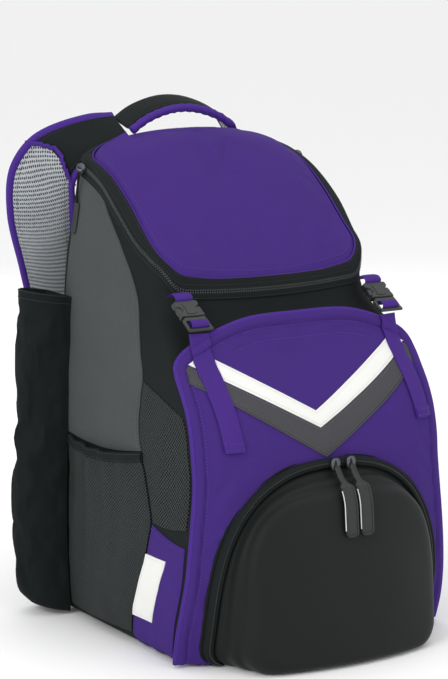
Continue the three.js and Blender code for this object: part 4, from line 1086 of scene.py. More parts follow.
def vPatch(name, upper, lower, look, thread, node):
    # One V patch: a thin sheet that lies on the flap, with a row of stitches inside each edge.
    shares = np.linspace(-1, 1, 145)
    front, back = [], []
    for share in np.linspace(0, 1, 9):
        lip = 0.5 * min(1.0, 4 * min(share, 1 - share))
        row = [onFlap(*mix(vPoint(lower, at), vPoint(upper, at), share), 0) for at in shares]
        front.append([p + n * (0.55 + lip) for p, n in row])
        back.append([p + n * 0.08 for p, n in row])
    makePiece(name, [sheetPart(np.array(front), np.array(back))], [look], [node])
    rows = []
    for line, inset in ((upper, -2.4), (lower, 2.4)):
        rows.append(lineOnFlap([vPoint(line, at, inset) for at in np.linspace(-0.96, 0.96, 121)], 1.15))
    makeRow(name + "_stitches", rows, 2.8, (2.0, 0.6, 0.4), thread)


vLines = {"whiteTop": (whiteTop, -9.0, 127.0), "whiteLow": (whiteLow, -7.0, 127.0),
          "greyTop": (greyTop, -7.0, 132.0), "greyLow": (greyLow, -4.0, 132.0)}
vPatch("white_v_patch", vLines["whiteTop"], vLines["whiteLow"], "whitePatch", "whiteThreadAndHighlight",
       "chevron_white")
vPatch("grey_v_patch", vLines["greyTop"], vLines["greyLow"], "greyPatch", "greyThread",
       "chevron_grey")
hem = [onFlap(*vPoint(vLines["greyLow"], at, -1.0), 0.7)[0] for at in np.linspace(-0.97, 0.97, 131)]
makePiece("grey_v_cord", [tubePart(hem, 0.9, 0, 6)], ["greyPatch"])
print("patches done")

# The side panels, pockets and sleeves

sides = {"pocketTop": 190.0, "pocketLow": 14.0, "sag": 6.0, "bulge": 13.0, "binding": 9.0, "seam": 74.0,
         "wedge": 131.0, "fall": 12.0, "labelWidth": 36.0, "labelHeight": 66.0, "labelFoot": 35.0,
         "lean": 0.318}
greyRows = [(0.0, -0.365), (0.11, -0.326), (0.22, -0.339), (0.315, -0.353), (0.42, -0.298), (0.53, -0.202),
            (0.62, -0.128), (0.73, -0.066), (0.85, 0.052), (1.0, 0.23)]
pocketRows = [(0.0, -0.294), (0.114, -0.325), (0.3, -0.39), (0.49, -0.452), (0.665, -0.49), (0.8, -0.45),
              (1.0, -0.37)]
greyBase = sides["pocketTop"] + sides["binding"] + 1.0
greyPeak = 0.873 * form["lidTop"]
greyRear = backWall - form["backCorner"] - 1.0


def greyFront(z):
    return form["front"] * tableAt(greyRows, (z - greyBase) / (greyPeak - greyBase))


def pocketFront(z):
    return form["front"] * tableAt(pocketRows,
                                   (z - sides["pocketLow"]) / (sides["pocketTop"] - sides["pocketLow"]))


def sagAt(y):
    start = greyFront(greyBase)
    share = clamp((y - start) / (sides["seam"] - start), 0.0, 1.0)
    return sides["sag"] * (math.sin(math.pi * share) + 0.9 * share)


def sidePanel(side, borders, away, thick, columns, rows, puff=0.0, ripple=None):
    # A panel sewn on the side wall, between four border lines of (y, z).
    flat = gridFrom(coons(*borders), columns, rows)
    front, back = [], []
    for j in range(rows + 1):
        for i in range(columns + 1):
            y, z = flat[j, i]
            place, _ = onSide(side, y, z, 0.0)
            u, v = i / columns, j / rows
            swell = puff * (math.sin(math.pi * u) * math.sin(math.pi * v)) ** 0.5
            if ripple:
                swell += ripple(u, v)
            edge = 0.6 * thick * min(1.0, 12 * min(u, 1 - u, v, 1 - v))
            front.append(place + np.array([side * (away + 0.4 * thick + edge + swell), 0, 0]))
            back.append(place + np.array([side * (away - 0.4), 0, 0]))
    shape = (rows + 1, columns + 1, 3)
    return sheetPart(np.array(front).reshape(shape), np.array(back).reshape(shape))


def lineOnSide(side, points, away):
    pairs = [onSide(side, y, z, away) for y, z in points]
    return np.array([p for p, _ in pairs]), np.array([n for _, n in pairs])


def greyBorders():
    startZ = rimHeight(greyFront(greyPeak)) - 9.5

    def bottomEdge(u):
        y = mix(greyFront(greyBase), greyRear, u)
        return np.array([y, greyBase - sagAt(y)])

    def topEdge(u):
        y = mix(greyFront(greyPeak), greyRear, u)
        return np.array([y, rimHeight(y) - 9.5 + (greyPeak - startZ) * (1 - u)])

    def leftEdge(v):
        z = mix(greyBase, greyPeak, v)
        return np.array([greyFront(z), z])

    def rightEdge(v):
        return np.array([greyRear, mix(greyBase - sagAt(greyRear), rimHeight(greyRear) - 9.5, v)])
    return bottomEdge, topEdge, leftEdge, rightEdge


def sideFront(z):
    # Where the side's panels start, just behind the flap.
    return frontWallY(frontHalfAt(z) - 12, z) + 11.0


def wedgeBorders():
    apex = pocketFront(sides["wedge"]) - 2.0

    def bottomEdge(u):
        return np.array([mix(sideFront(3.0), pocketFront(14.0) - 2.0, u), 3.0])

    def topEdge(u):
        y = mix(sideFront(sides["wedge"] - sides["fall"]), apex, u)
        return np.array([y, mix(sides["wedge"] - sides["fall"], sides["wedge"], u) - 2.5
                         * math.sin(math.pi * u)])

    def leftEdge(v):
        z = mix(3.0, sides["wedge"] - sides["fall"], v)
        return np.array([sideFront(z), z])

    def rightEdge(v):
        z = mix(3.0, sides["wedge"], v)
        return np.array([pocketFront(max(z, 14.0)) - 2.0, z])
    return bottomEdge, topEdge, leftEdge, rightEdge


def netBorders():
    low, high = sides["wedge"] + 2.0, 0.81 * form["flapTop"]

    def backEdge(z):
        return (pocketFront(min(z, sides["pocketTop"])) if z < greyBase else greyFront(z)) - 2.0
    lowFront, highFront = low + 4.0, high - 25.0

    def bottomEdge(u):
        return np.array([mix(sideFront(lowFront), backEdge(low), u),
                         mix(lowFront, low, u) - 2.5 * math.sin(math.pi * u)])

    def topEdge(u):
        return np.array([mix(sideFront(highFront), backEdge(high), u), mix(highFront, high, u)])

    def leftEdge(v):
        z = mix(lowFront, highFront, v)
        return np.array([sideFront(z), z])

    def rightEdge(v):
        z = mix(low, high, v)
        return np.array([backEdge(z), z])
    return bottomEdge, topEdge, leftEdge, rightEdge


def netFolds(u, v):
    return 1.6 * math.sin(9 * u + 5 * v) * math.sin(math.pi * u) * math.sin(math.pi * v) ** 0.6


def pocketGrid(side, low, high, away, columns, rows, gather):
    # The pocket's face: bulges from the wall, gathered under its top binding, with folds that fan to its
    # foot.
    places = []
    for j in range(rows + 1):
        for i in range(columns + 1):
            u, v = i / columns, j / rows
            z = mix(low, high, v)
            y = mix(pocketFront(z), sides["seam"], u)
            share = clamp((z - sides["pocketLow"]) / (sides["pocketTop"] - sides["pocketLow"]), 0.0, 1.0)
            z -= sagAt(y) * share
            tucks = 1 - 0.3 * math.cos(4 * math.pi * u) ** 2 * share
            swell = sides["bulge"] * tucks * math.sin(math.pi * u) ** 0.8 * math.sin(math.pi
                                                                                     * (0.12 + 0.62 * share))
            pleats = gather * math.sin(math.pi * u) ** 0.5
            swell += pleats * (0.9 * share ** 3 * math.cos(30 * u) + 1.7 * (1 - share) * share
                               * math.sin(13 * u - 6 * share + 2 * math.sin(5 * u)))
            wall, _ = onSide(side, y, z, 0.0)
            places.append(wall + np.array([side * (0.5 + away + max(0.0, swell)), 0, 0]))
    return np.array(places).reshape(rows + 1, columns + 1, 3)


def makeSide(side, word):
    heather = sidePanel(side, greyBorders(), 0.5, 1.4, 44, 60, 0.7)
    makePiece("heather_panel_" + word, [heather], ["heather"], ["side_panel_" + word])
    wedge = sidePanel(side, wedgeBorders(), 0.5, 1.4, 34, 36, 1.0,
                      lambda u, v: 1.1 * math.exp(-6 * v) * math.sin(16 * u + 5 * v) * math.sin(math.pi * u))
    makePiece("wedge_cloth_" + word, [wedge], ["purpleCloth"], ["side_wedge_" + word])
    net = sidePanel(side, netBorders(), 0.4, 1.2, 36, 48, 0.4, netFolds)
    makePiece("gusset_net_" + word, [net], ["gussetNet"], ["mesh_gusset_" + word])
    low, high = sides["pocketLow"], sides["pocketTop"] - 0.5
    front = pocketGrid(side, low, high, 1.5, 76, 64, 1.9)
    back = pocketGrid(side, low, high, 0.3, 76, 64, 1.9)
    makePiece("pocket_net_" + word, [sheetPart(front, back)], ["pocketNet"],
              ["mesh_pocket_" + word])
    high = sides["pocketTop"] + sides["binding"]
    front = pocketGrid(side, sides["pocketTop"] - 1.0, high, 2.8, 76, 6, 1.0)
    back = pocketGrid(side, sides["pocketTop"] - 1.0, high, 0.2, 76, 6, 1.0)
    normals = normalsOf(front, (side, 0, 0))
    crown = np.sin(np.linspace(0, math.pi, 7))[:, None, None] ** 0.6
    front = front + normals * (crown * 0.9 - 0.6)
    makePiece("pocket_hem_" + word, [sheetPart(front, back)], ["blackCloth"],
              ["pocket_binding_" + word])
    lines = [(front[j] + normals[j] * 0.25, normals[j]) for j in (1, 5)]
    makeRow("pocket_hem_stitches_" + word, lines, 3.0, (2.2, 0.6, 0.5), "blackThread")
    leftEdge = greyBorders()[2]
    seams = [lineOnSide(side, [leftEdge(t) + (3.2, 0) for t in np.linspace(0.02, 0.98, 70)], 2.2)]
    makeRow("heather_stitches_" + word, seams, 3.2, (2.3, 0.6, 0.5), "greyThread")
    _, topEdge, _, rightEdge = wedgeBorders()
    seams = [lineOnSide(side, [topEdge(t) - (0, 3.0) for t in np.linspace(0.05, 0.97, 50)], 2.7),
             lineOnSide(side, [rightEdge(t) - (3.0, 0) for t in np.linspace(0.1, 0.97, 50)], 2.7)]
    makeRow("wedge_stitches_" + word, seams, 3.2, (2.3, 0.65, 0.5), "purpleThread")


sleeveForm = {"front": 77.0, "halfDepth": 27.0, "reach": 45.0, "wall": 3.0, "mouth": 334.0, "foot": 3.0,
              "hem": 11.0}
sleeveRows = [(0.0, 0.68, 7.2), (0.016, 0.9, 12.0), (0.06, 1.0, 12.0), (0.35, 1.0, 7.0), (0.7, 0.97, 7.0),
              (1.0, 0.97, 7.0)]


def sleeveRing(side, z, shrink, count=56):
    share = (z - sleeveForm["foot"]) / (sleeveForm["mouth"] - sleeveForm["foot"])
    reachShare, rise = tableAt(sleeveRows, share, 1), tableAt(sleeveRows, share, 2)
    innerX = sideHalfAt(z) + 2.5 + shrink
    middle = sleeveForm["front"] + sleeveForm["halfDepth"]
    depth = (sleeveForm["halfDepth"] - shrink) * mix(0.86, 1.0, reachShare)
    reach = (sleeveForm["reach"] - 2 * shrink) * reachShare
    ring = []
    for k in range(count + 1):
        angle = k / count * math.pi
        out = math.sin(angle) ** 0.75
        ring.append((side * (innerX + reach * out), middle - depth * math.cos(angle), z + rise * out))
    for k in range(1, 8):
        ring.append((side * innerX, middle + depth * (1 - k / 4), z))
    return np.array(ring)


def makeSleeve(side, word):
    heights = [3.0, 4.5, 7.0, 11.0, 16.0] + list(np.linspace(22, sleeveForm["mouth"], 44))
    outer = np.array([sleeveRing(side, z, 0.0) for z in heights])
    normals = normalsOf(outer, None, True)
    outwards = np.abs(normals[..., 0]) > 0.05
    calm = np.clip((outer[..., 2] - 8) / 25, 0, 1) * np.where(side * outer[..., 0] > sideHalfAt(100) + 4, 1,
                                                              0)
    calm = calm * outwards
    outer = ruffle(outer, normals, 1.5, 52.0, 12.0 + side, (1, 1, 0.8), calm)
    held = np.where(calm > 0, np.clip(1 - (outer[..., 2] - 12) / 14, 0, 1), 1.0)
    held[-3:] = 1.0
    outer = settled(outer, held, (side, 0, 0), 0.5, 0.025, 3.0, True)
    hem = np.clip((outer[..., 2] - (sleeveForm["mouth"] - sleeveForm["hem"])) / 2.0, 0,
                  1) * np.where(calm > 0, 1, 0)
    outer = outer + normals * (hem * 0.9)[..., None]
    inner = np.array([sleeveRing(side, z + (3.0 if z < 9 else 0.0), sleeveForm["wall"]) for z in heights])
    lip = (outer[-1] + inner[-1]) / 2 + np.array([0, 0, 1.2])
    part = ringsPart(np.concatenate([outer, lip[None], inner[::-1]]))
    makePiece("sleeve_" + word, [part], ["sleeveCloth"], ["bat_sleeve_" + word])
    rows = []
    for drop in (3.0, 9.0):
        j = int(np.argmin(np.abs(np.array(heights) - (sleeveForm["mouth"] - drop))))
        rows.append((outer[j][:57] + normals[j][:57] * 0.3, normals[j][:57]))
    makeRow("sleeve_stitches_" + word, rows, 2.6, (1.9, 0.7, 0.5), "blackThread")


for side, word in ((-1, "left"), (1, "right")):
    makeSide(side, word)
    makeSleeve(side, word)
print("sides done")


def makeLabel():
    # The woven label: blank, with a stitched border.
    foot, tall, wide, lean = sides["labelFoot"], sides["labelHeight"], sides["labelWidth"], sides["lean"]
    start = pocketFront(foot) - 3.0

    def at(u, v):
        return np.array([start - wide * (1 - u) - lean * tall * v, foot + tall * v])
    front, back = [], []
    for j in range(25):
        for i in range(15):
            y, z = at(i / 14, j / 24)
            place, _ = onSide(-1, y, z, 0.0)
            front.append(place - np.array([3.6, 0, 0]))
            back.append(place - np.array([2.3, 0, 0]))
    front, back = np.array(front).reshape(25, 15, 3), np.array(back).reshape(25, 15, 3)
    makePiece("blank_label", [sheetPart(front, back)], ["whitePatch"], ["woven_label"])
    inset = [(0.07, 0.04), (0.93, 0.04), (0.93, 0.96), (0.07, 0.96), (0.07, 0.04)]
    points = []
    for a, b in zip(inset, inset[1:]):
        points += [at(*mix(np.array(a), np.array(b), t)) for t in np.linspace(0, 0.98, 24)]
    makeRow("label_stitches", [lineOnSide(-1, points, 3.75)], 2.6, (1.9, 0.55, 0.4), "whiteThreadAndHighlight")


makeLabel()

# The moulded case and its zipper

case = {"half": 134.0, "top": 197.0, "spring": 35.0, "power": 2.5, "reach": 227.0, "crown": 28.0,
        "lean": 24.0,
        "wall": 4.0, "zipper": 8.0, "zipperDepth": 10.0, "foot": 0.6, "middle": 85.0}
caseRows = [(0.0, 1.0, 0.0, 0.0), (0.14, 0.985, 0.2, 0.0), (0.28, 0.945, 0.3, 0.0), (0.42, 0.93, 0.52, 0.0),
            (0.56, 0.89, 0.62, 0.0), (0.7, 0.87, 0.82, 0.0), (0.85, 0.83, 0.95, 0.015),
            (1.0, 0.77, 1.0, 0.035)]


def caseFrontY(x, z):
    lean = case["lean"] * clamp(z / case["top"], 0, 1) ** 1.6
    return -case["reach"] + case["crown"] * (abs(x) / case["half"]) ** 2 + lean


def caseBaseY(x, z):
    return flapY(x, z) - 1.0


def caseRing(ring, footShare, inset, power=2.5):
    half = (case["half"] - inset) * ring
    rise = (case["top"] - inset - case["spring"]) * ring
    low = case["foot"] + footShare * case["top"] + (case["wall"] if inset > 9 else 0.0)
    corner = min(22.0, case["spring"] - low - 2)
    right = [((half - corner) * i / 14, low) for i in range(15)]
    for i in range(1, 9):
        angle = i / 8 * math.pi / 2
        right.append((half - corner + corner * math.sin(angle), low + corner - corner * math.cos(angle)))
    bend = 2 / power
    for i in range(31):
        angle = i / 30 * math.pi / 2
        right.append((half * max(0.0, math.cos(angle)) ** bend,
                      case["spring"] + rise * math.sin(angle) ** bend))
    left = [(-x, z) for x, z in right[1:-1][::-1]]
    return right + left


def caseLoop(row, inset, back):
    ring, forward, foot = row
    loop = []
    power = mix(case["power"], 4.4, smooth((1 - ring) / 0.23))
    flat = min(1.0, ring / 0.77) if ring < 0.77 else 1.0
    for x, z in caseRing(max(ring, 0.77), foot, inset, power):
        x, z = x * flat, mix(case["middle"], z, flat)
        y = mix(caseBaseY(x, z), caseFrontY(x, z), forward)
        loop.append((x, y + back * forward, z))
    return loop


def caseProfile(steps):
    rows = []
    for k in range(steps + 1):
        t = k / steps
        rows.append((tableAt(caseRows, t, 1), clamp(tableAt(caseRows, t, 2), 0, 1),
                     max(0.0, tableAt(caseRows, t, 3))))
    for ring in (0.7, 0.6, 0.48, 0.34, 0.18):
        rows.append((ring, 1.0, 0.035))
    return rows


def makeCase():
    rows = caseProfile(34)
    inset = case["zipper"] + 0.5
    outer = np.array([caseLoop(row, inset, 0.0) for row in rows])
    face = outer.copy()
    for j, row in enumerate(rows):
        crown = smooth((0.77 - row[0]) / 0.4)
        face[j, :, 1] -= 1.2 * crown
    inner = np.array([caseLoop(row, inset + case["wall"], case["wall"]) for row in rows])
    part = ringsPart(np.concatenate([face[::-1], inner]))
    piece = makePiece("case_shell", [part], ["moulded"], ["hard_case"], 40)
    soften = piece.modifiers.new("soften", "SMOOTH")
    soften.factor = 0.5
    soften.iterations = 3
    return treeOf([part])


caseTree = makeCase()


def makeCaseZipper():
    outer, inner = caseRing(1.0, 0.0, 0.0), caseRing(1.0, 0.0, case["zipper"])
    skip = 16
    section = [(0.0, 0.0), (0.0, 0.75), (0.1, 0.95), (0.34, 1.0), (0.4, 0.82), (0.62, 0.82), (0.68, 1.0),
               (0.92, 0.95), (1.0, 0.6), (1.14, 0.4), (1.35, 0.3), (1.35, 0.0)]
    rings, coil, lifts, welt = [], [], [], []
    for i in range(skip, len(outer) - skip + 1):
        (ox, oz), (ix, iz) = outer[i], inner[i]
        ring = []
        for share, high in section:
            x, z = mix(ox, ix, share), mix(oz, iz, share)
            ring.append((x, caseBaseY(x, z) - high * case["zipperDepth"], z))
        rings.append(ring)
        x, z = mix(ox, ix, 0.5), mix(oz, iz, 0.5)
        coil.append((x, caseBaseY(x, z) - 0.86 * case["zipperDepth"], z))
        lifts.append((0.0, -1.0, 0.0))
        x, z = mix(ox, ix, -0.12), mix(oz, iz, -0.12)
        welt.append((x, caseBaseY(x, z) - 1.6, max(z, 2.0)))
    makePiece("case_zipper_tape", [ringsPart(rings)], ["tape"], ["case_zipper"])
    makePiece("case_zipper_piping", [tubePart(welt, 1.7, 0, 8)], ["blackCloth"])
    makeRow("case_zipper_coil", [(coil, lifts)], 2.2, (1.4, 3.4, 2.0), "coil", unevenness=0.02)


makeCaseZipper()
print("case done")

# Sliders and pulls


def curvedBand(edgeA, edgeB, thick, steps=28, across=10, square=0.0):
    # A soft strip between two edge lines, crowned across, as a closed sheet.
    front, back = [], []
    for s in range(steps + 1):
        t = s / steps
        a, b = curveThrough(edgeA, t), curveThrough(edgeB, t)
        ahead = curveThrough(edgeA, min(1, t + 0.01)) - curveThrough(edgeA, max(0, t - 0.01))
        up = np.cross(ahead, b - a)
        up /= max(1e-9, np.linalg.norm(up))
        narrow = 1 - square * (max(0.0, abs(2 * t - 1) - 0.9) * 10) ** 2
        width = thick(t) if callable(thick) else thick
        rowA, rowB = [], []
        for k in range(across + 1):
            w = 0.5 + (k / across - 0.5) * narrow
            crown = (1 - abs(2 * k / across - 1) ** 4) * 0.5 * width
            place = mix(a, b, w)
            rowA.append(place + up * crown)
            rowB.append(place - up * crown)
        front.append(rowA)
        back.append(rowB)
    return np.array(front), np.array(back)


def caseFaceY(x, z):
    hit, _ = castOn(caseTree, (x, -400.0, z), (0, 1, 0))
    return caseFrontY(x, z) if hit is None else hit[1]


def makeSlider(name, place, node, tilt=0.0, side=0):
    # A zipper slider: a tapered body with a bridge for its pull.
    size = (11.0, 5.0, 12.0)
    parts = []
    profile = [(0.6, -1.0), (0.85, -0.7), (1.0, -0.2), (1.0, 0.3), (0.72, 0.8), (0.4, 1.0)]
    rings = []
    for wide, high in profile:
        ring = []
        for k in range(20):
            angle = 2 * math.pi * k / 20
            x = size[0] / 2 * wide * math.copysign(abs(math.cos(angle)) ** 0.5, math.cos(angle))
            y = size[1] / 2 * math.copysign(abs(math.sin(angle)) ** 0.5, math.sin(angle))
            ring.append((x, y, size[2] / 2 * high))
        rings.append(ring)
    parts.append(ringsPart(rings))
    arch = [(0, -size[1] / 2 - 2.6 * math.sin(math.pi * t) + 0.6, mix(-4.2, 4.2, t))
            for t in np.linspace(0, 1, 14)]
    parts.append(tubePart(arch, 1.1, 0, 8))
    turned = []
    for places, faces, grain, numbers in parts:
        p = np.array(places, float)
        c, s = math.cos(tilt), math.sin(tilt)
        if side:
            p = np.stack([-side * p[:, 1], p[:, 0] * c - p[:, 2] * s, p[:, 0] * s + p[:, 2] * c], axis=1)
        turned.append((p + np.array(place), faces, grain, numbers))
    return makePiece(name, turned, ["metal"], [node], 40)


pulls = {"width": 15.0, "thick": 2.4, "drop": 60.0, "lean": -4.0}


def makeCasePulls():
    for word, x in (("a", 0.0), ("b", 18.0)):
        top = case["top"] - case["zipper"] / 2
        face = caseBaseY(x, top) - case["zipperDepth"] - 0.5
        makeSlider("case_slider_body_" + word, (x, face - 2.2, top), "case_slider_" + word)

        def hang(offset):
            line = [(x + offset, face - 3.5 - 0.5 - 1.2, top - 1)]
            for t in (0.1, 0.25, 0.45, 0.7, 1.0):
                z = top - 5.0 - pulls["drop"] * t
                near = min(face, min(caseFaceY(x + pulls["lean"] * t + o, z + s) for s in (-6, 0, 5)
                                     for o in (-6, 6)))
                line.append((x + pulls["lean"] * t + offset, near - 2.2, z))
            return line
        half = pulls["width"] / 2
        front, back = curvedBand(hang(-half), hang(half), pulls["thick"], 40, 12, 0.5)
        narrow = np.interp(np.linspace(0, 1, 41), [0, 0.12, 0.3, 0.36, 1.0], [0.45, 0.42, 0.5, 1.0, 1.0])
        for grid in (front, back):
            middle = grid.mean(axis=1, keepdims=True)
            grid[:] = middle + (grid - middle) * np.stack([narrow, np.ones(41), np.ones(41)], axis=1)[:,
                                                                                                      None, :]
        parts = [sheetPart(front, back)]
        rim = np.concatenate([front[15:39, 1], front[39:40, 1:12].reshape(-1, 3), front[39:14:-1, 11]])
        parts.append(tubePart(rim + np.array([0, -0.3, 0]), 0.8, 0, 6))
        # A thin white line down each pull's left edge: a painted highlight where that edge catches the light.
        parts.append(tubePart(front[17:38, 0] + np.array([-0.2, -0.7, 0]), 0.55, 1, 6))
        makePiece("case_pull_" + word, parts, ["rubber", "whiteThreadAndHighlight"],
                  ["case_puller_" + word], 40)


def makeLidPulls():
    for side, word in ((-1, "left"), (1, "right")):
        low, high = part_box("lid_slider_" + word)
        place = np.array([(low[k] + high[k]) * 500 for k in range(3)]) - np.array([0, middleY, 0])
        tilt = math.atan2(rimHeight(place[1] + 5) - rimHeight(place[1] - 5), 10)
        makeSlider("lid_slider_body_" + word, place, "lid_slider_" + word, tilt + math.pi / 2,
                   side)
        low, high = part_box("lid_puller_" + word)
        top, foot = high[2] * 1000, low[2] * 1000
        middle = (low[1] + high[1]) * 500 - middleY
        line = []
        for t in np.linspace(0, 1, 9):
            z = mix(top + 2, foot, t)
            wall, _ = onSide(side, middle, z, 0.0)
            line.append((wall[0] + side * (3.6 + 5.0 * (1 - t) ** 3), middle, z))
        cord = tubePart([curveThrough(line, t) for t in np.linspace(0, 0.55, 26)], 1.3, 1, 8)
        edges = [[np.array(p) + np.array([0, o, 0]) for p in line[4:]] for o in (-4.5, 4.5)]
        front, back = curvedBand(edges[0], edges[1], 3.0, 20, 8, 0.4)
        makePiece("lid_pull_" + word, [cord, sheetPart(front, back)], ["rubber", "blackWebbing"],
                  ["lid_puller_" + word], 40)


makeCasePulls()
makeLidPulls()
print("pulls done")

# The straps over the front, with their buckles

strap = {"column": 112.0, "width": 20.0, "thick": 1.6, "slope": 0.67, "length": 46.0, "footRise": 4.0}
buckleFoot = np.array([0.0, flapY(strap["column"], 0.965 * form["flapTop"]) - 4, 0.965 * form["flapTop"]])
run = np.array([0.0, -math.cos(strap["slope"]), -math.sin(strap["slope"])])
buckleHead = buckleFoot - run * 1.08 * strap["length"]
lift = np.array([0.0, -math.sin(strap["slope"]), math.cos(strap["slope"])])


def onRun(side, across, along, high):
    # A place on the fastened buckle: across it, along its fall and above its middle plane.
    rise = high + strap["footRise"] * along / strap["length"]
    return np.array([side * strap["column"] + across, 0, 0]) + buckleHead + run * along + lift * rise


def buckleShape(side, outline, depth, start, rounding=1.2, offset=0.0):
    # A moulded plate from half its outline of (across, along), with eased edges.
    whole = outline + [(-x, y) for x, y in outline[::-1]]
    centre = np.mean(np.array(whole), axis=0)
    rings = []
    for grow, high in ((-rounding, -1.0), (-0.35 * rounding, -0.8), (0.0, -0.5), (0.0, 0.5),
                       (-0.35 * rounding, 0.8),
                       (-rounding, 1.0)):
        ring = []
        for x, y in whole:
            away = np.array([x, y]) - centre
            away = away / max(1e-6, np.linalg.norm(away))
            ring.append(onRun(side, x + away[0] * grow + offset, start + y + away[1] * grow,
                              high * depth / 2))
        rings.append(ring)
    return ringsPart(rings)


socketOutline = [(4, 0), (11.5, 0), (13.4, 1.2), (13.6, 5), (12.0, 7.5), (9.0, 9.5), (8.2, 12), (9.4, 15),
                 (12.6, 17.6), (13.4, 19.5), (13.0, 22.0), (6, 22.6)]
plugOutline = [(4, 0), (11.8, 0), (12.6, 1.0), (12.6, 4.2), (11.6, 5.0), (4, 5.0)]
prongOutline = [(0.3, 0), (3.4, 0), (4.4, 4), (3.8, 9), (1.6, 11.5), (0.3, 11)]
ridgeOutline = [(2.5, 3), (6.2, 4.5), (5.0, 12), (6.2, 18.5), (2.5, 20)]


def makeBuckle(side, word):
    parts = [buckleShape(side, socketOutline, 7.4, 7.6), buckleShape(side, ridgeOutline, 8.6, 7.6, 0.8)]
    makePiece("buckle_front_" + word, parts, ["plastic"], ["buckle_socket_" + word], 35)
    parts = [buckleShape(side, plugOutline, 6.4, 30.8)]
    for sign in (-1, 1):
        parts.append(buckleShape(side, prongOutline, 5.0, 16.0, 0.6, sign * 9.4))
        parts.append(tubePart([onRun(side, sign * 12.0, at, 0.4) for at in np.linspace(33, 47, 7)], 1.9, 0,
                              8))
    parts.append(tubePart([onRun(side, x, 47.0, 0.8) for x in np.linspace(-13.2, 13.2, 9)], 1.8, 0, 8))
    makePiece("buckle_rear_" + word, parts, ["plastic"], ["buckle_plug_" + word], 35)


# The sewn webbing of each side: its place at the top, how far it slants over which height, and its foot.
webbingRuns = {-1: {"x": -112.0, "slant": 7.0, "over": 88.0, "foot": 213.0},
               1: {"x": 110.0, "slant": 11.0, "over": 80.0, "foot": 222.0}}


def strapX(side, z):
    sewn = webbingRuns[side]
    return sewn["x"] + sewn["slant"] * clamp((300.0 - z) / sewn["over"], 0.0, 1.0)


def rolled(side, start, end, high, thick):
    # Webbing rolled over a bar of the buckle.
    half = strap["width"] / 2 * 0.96
    spots = [(0.0, -1.5), (0.04, high * 0.6), (0.25, high), (0.75, high), (0.96, high * 0.6), (1.0, -1.5)]
    edges = [[onRun(side, across, mix(start, end, t), up) for t, up in spots] for across in (-half, half)]
    return sheetPart(*curvedBand(edges[0], edges[1], thick, 26, 8))


def makeStrap(side, word):
    half = strap["width"] / 2
    end = webbingRuns[side]["foot"]
    front, back = [], []
    for j in range(71):
        z = mix(end, 0.968 * form["flapTop"], j / 70)
        rowA, rowB = [], []
        for k in range(9):
            place, normal = onFlap(strapX(side, z) + mix(-half, half, k / 8), z, 0)
            thick = strap["thick"] * (1 - 0.4 * abs(2 * k / 8 - 1) ** 6)
            fold = 1.2 * smooth((end + 10 - z) / 1.5)
            rowA.append(place + normal * (1.3 + thick + fold))
            rowB.append(place + normal * 1.1)
        front.append(rowA)
        back.append(rowB)
    parts = [sheetPart(np.array(front), np.array(back)), rolled(side, 36.2, 44.6, 5.2, 1.7)]
    makePiece("flap_webbing_" + word, parts, ["purpleWebbing"], ["flap_strap_" + word], 60)
    stitches = []
    for low in (2.5, 8.0):
        points = [(strapX(side, end + low) + o, end + low) for o in np.linspace(-8.5, 8.5, 8)]
        stitches.append(lineOnFlap(points, 4.3))
    for o in (-8.6, 8.6):
        points = [(strapX(side, z) + o, z) for z in np.linspace(end + 3, end + 10, 6)]
        stitches.append(lineOnFlap(points, 4.1))
    makeRow("webbing_stitches_" + word, stitches, 2.8, (2.1, 0.6, 0.5), "purpleThread")


def makeTab(side, word):
    # The tab from under the lid's zipper, rolled over the socket's bar.
    half = strap["width"] / 2
    low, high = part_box("lid_tab_" + word)
    startY, startZ = high[1] * 1000 - middleY, (low[2] + high[2]) * 500
    edges = []
    for across in (-half, half):
        x = side * strap["column"] + across
        rest = [onRun(side, across, along, up) for along,
                up in ((-2.5, 3.6), (2.5, 5.6), (6.4, 4.6), (7.6, 0.0))]
        edges.append([np.array([x, startY + 0.4, startZ + 1.0])] + rest)
    front, back = curvedBand(edges[0], edges[1], 2.0, 28, 8)
    makePiece("lid_tab_webbing_" + word, [sheetPart(front, back)], ["purpleWebbing"],
              ["lid_tab_" + word], 60)


for side, word in ((-1, "left"), (1, "right")):
    makeBuckle(side, word)
    makeStrap(side, word)
    makeTab(side, word)
print("buckles done")

# The haul handle, the shoulder straps and the back

handle = {"half": 61.0, "front": 106.0, "depth": 40.0, "foot": 497.3, "rise": 21.0, "rearRise": 11.0,
          "roll": 4.3,
          "start": 5.6, "thick": 5.6}


def handleLine(offset):
    line = []
    for k in range(9):
        t = k / 8
        arc = max(0.0, math.sin(math.pi * t)) ** 0.8
        line.append((mix(-handle["half"], handle["half"], t), handle["front"] + offset,
                     handle["foot"] + handle["rise"] * arc + handle["rearRise"] * offset / handle["depth"]))
    return line


def makeHandle():
    front, back = curvedBand(handleLine(handle["start"]), handleLine(handle["depth"]), handle["thick"], 60,
                             18)
    piece = makePiece("handle_band", [sheetPart(front, back)], ["blackCloth"], ["haul_handle"])
    line = [curveThrough(handleLine(0.0), t) for t in np.linspace(0, 1, 90)]
    roll = [handle["roll"] + 0.35 * math.sin(k * 0.9) + 0.2 * math.sin(k * 2.1) for k in range(90)]
    makePiece("handle_roll", [tubePart(line, roll, 0, 16)], ["highlitPurpleEdge"],
              ["handle_binding"])
    seams = []
    for share in (0.12, 0.88):
        near = front[:, int(round(share * 18))][2:59]
        lifts = normalsOf(front, (0, 0, 1))[2:59, int(round(share * 18))]
        seams.append((near + lifts * 0.2, lifts))
    makeRow("handle_stitches", seams, 3.2, (2.3, 0.65, 0.5), "blackThread")


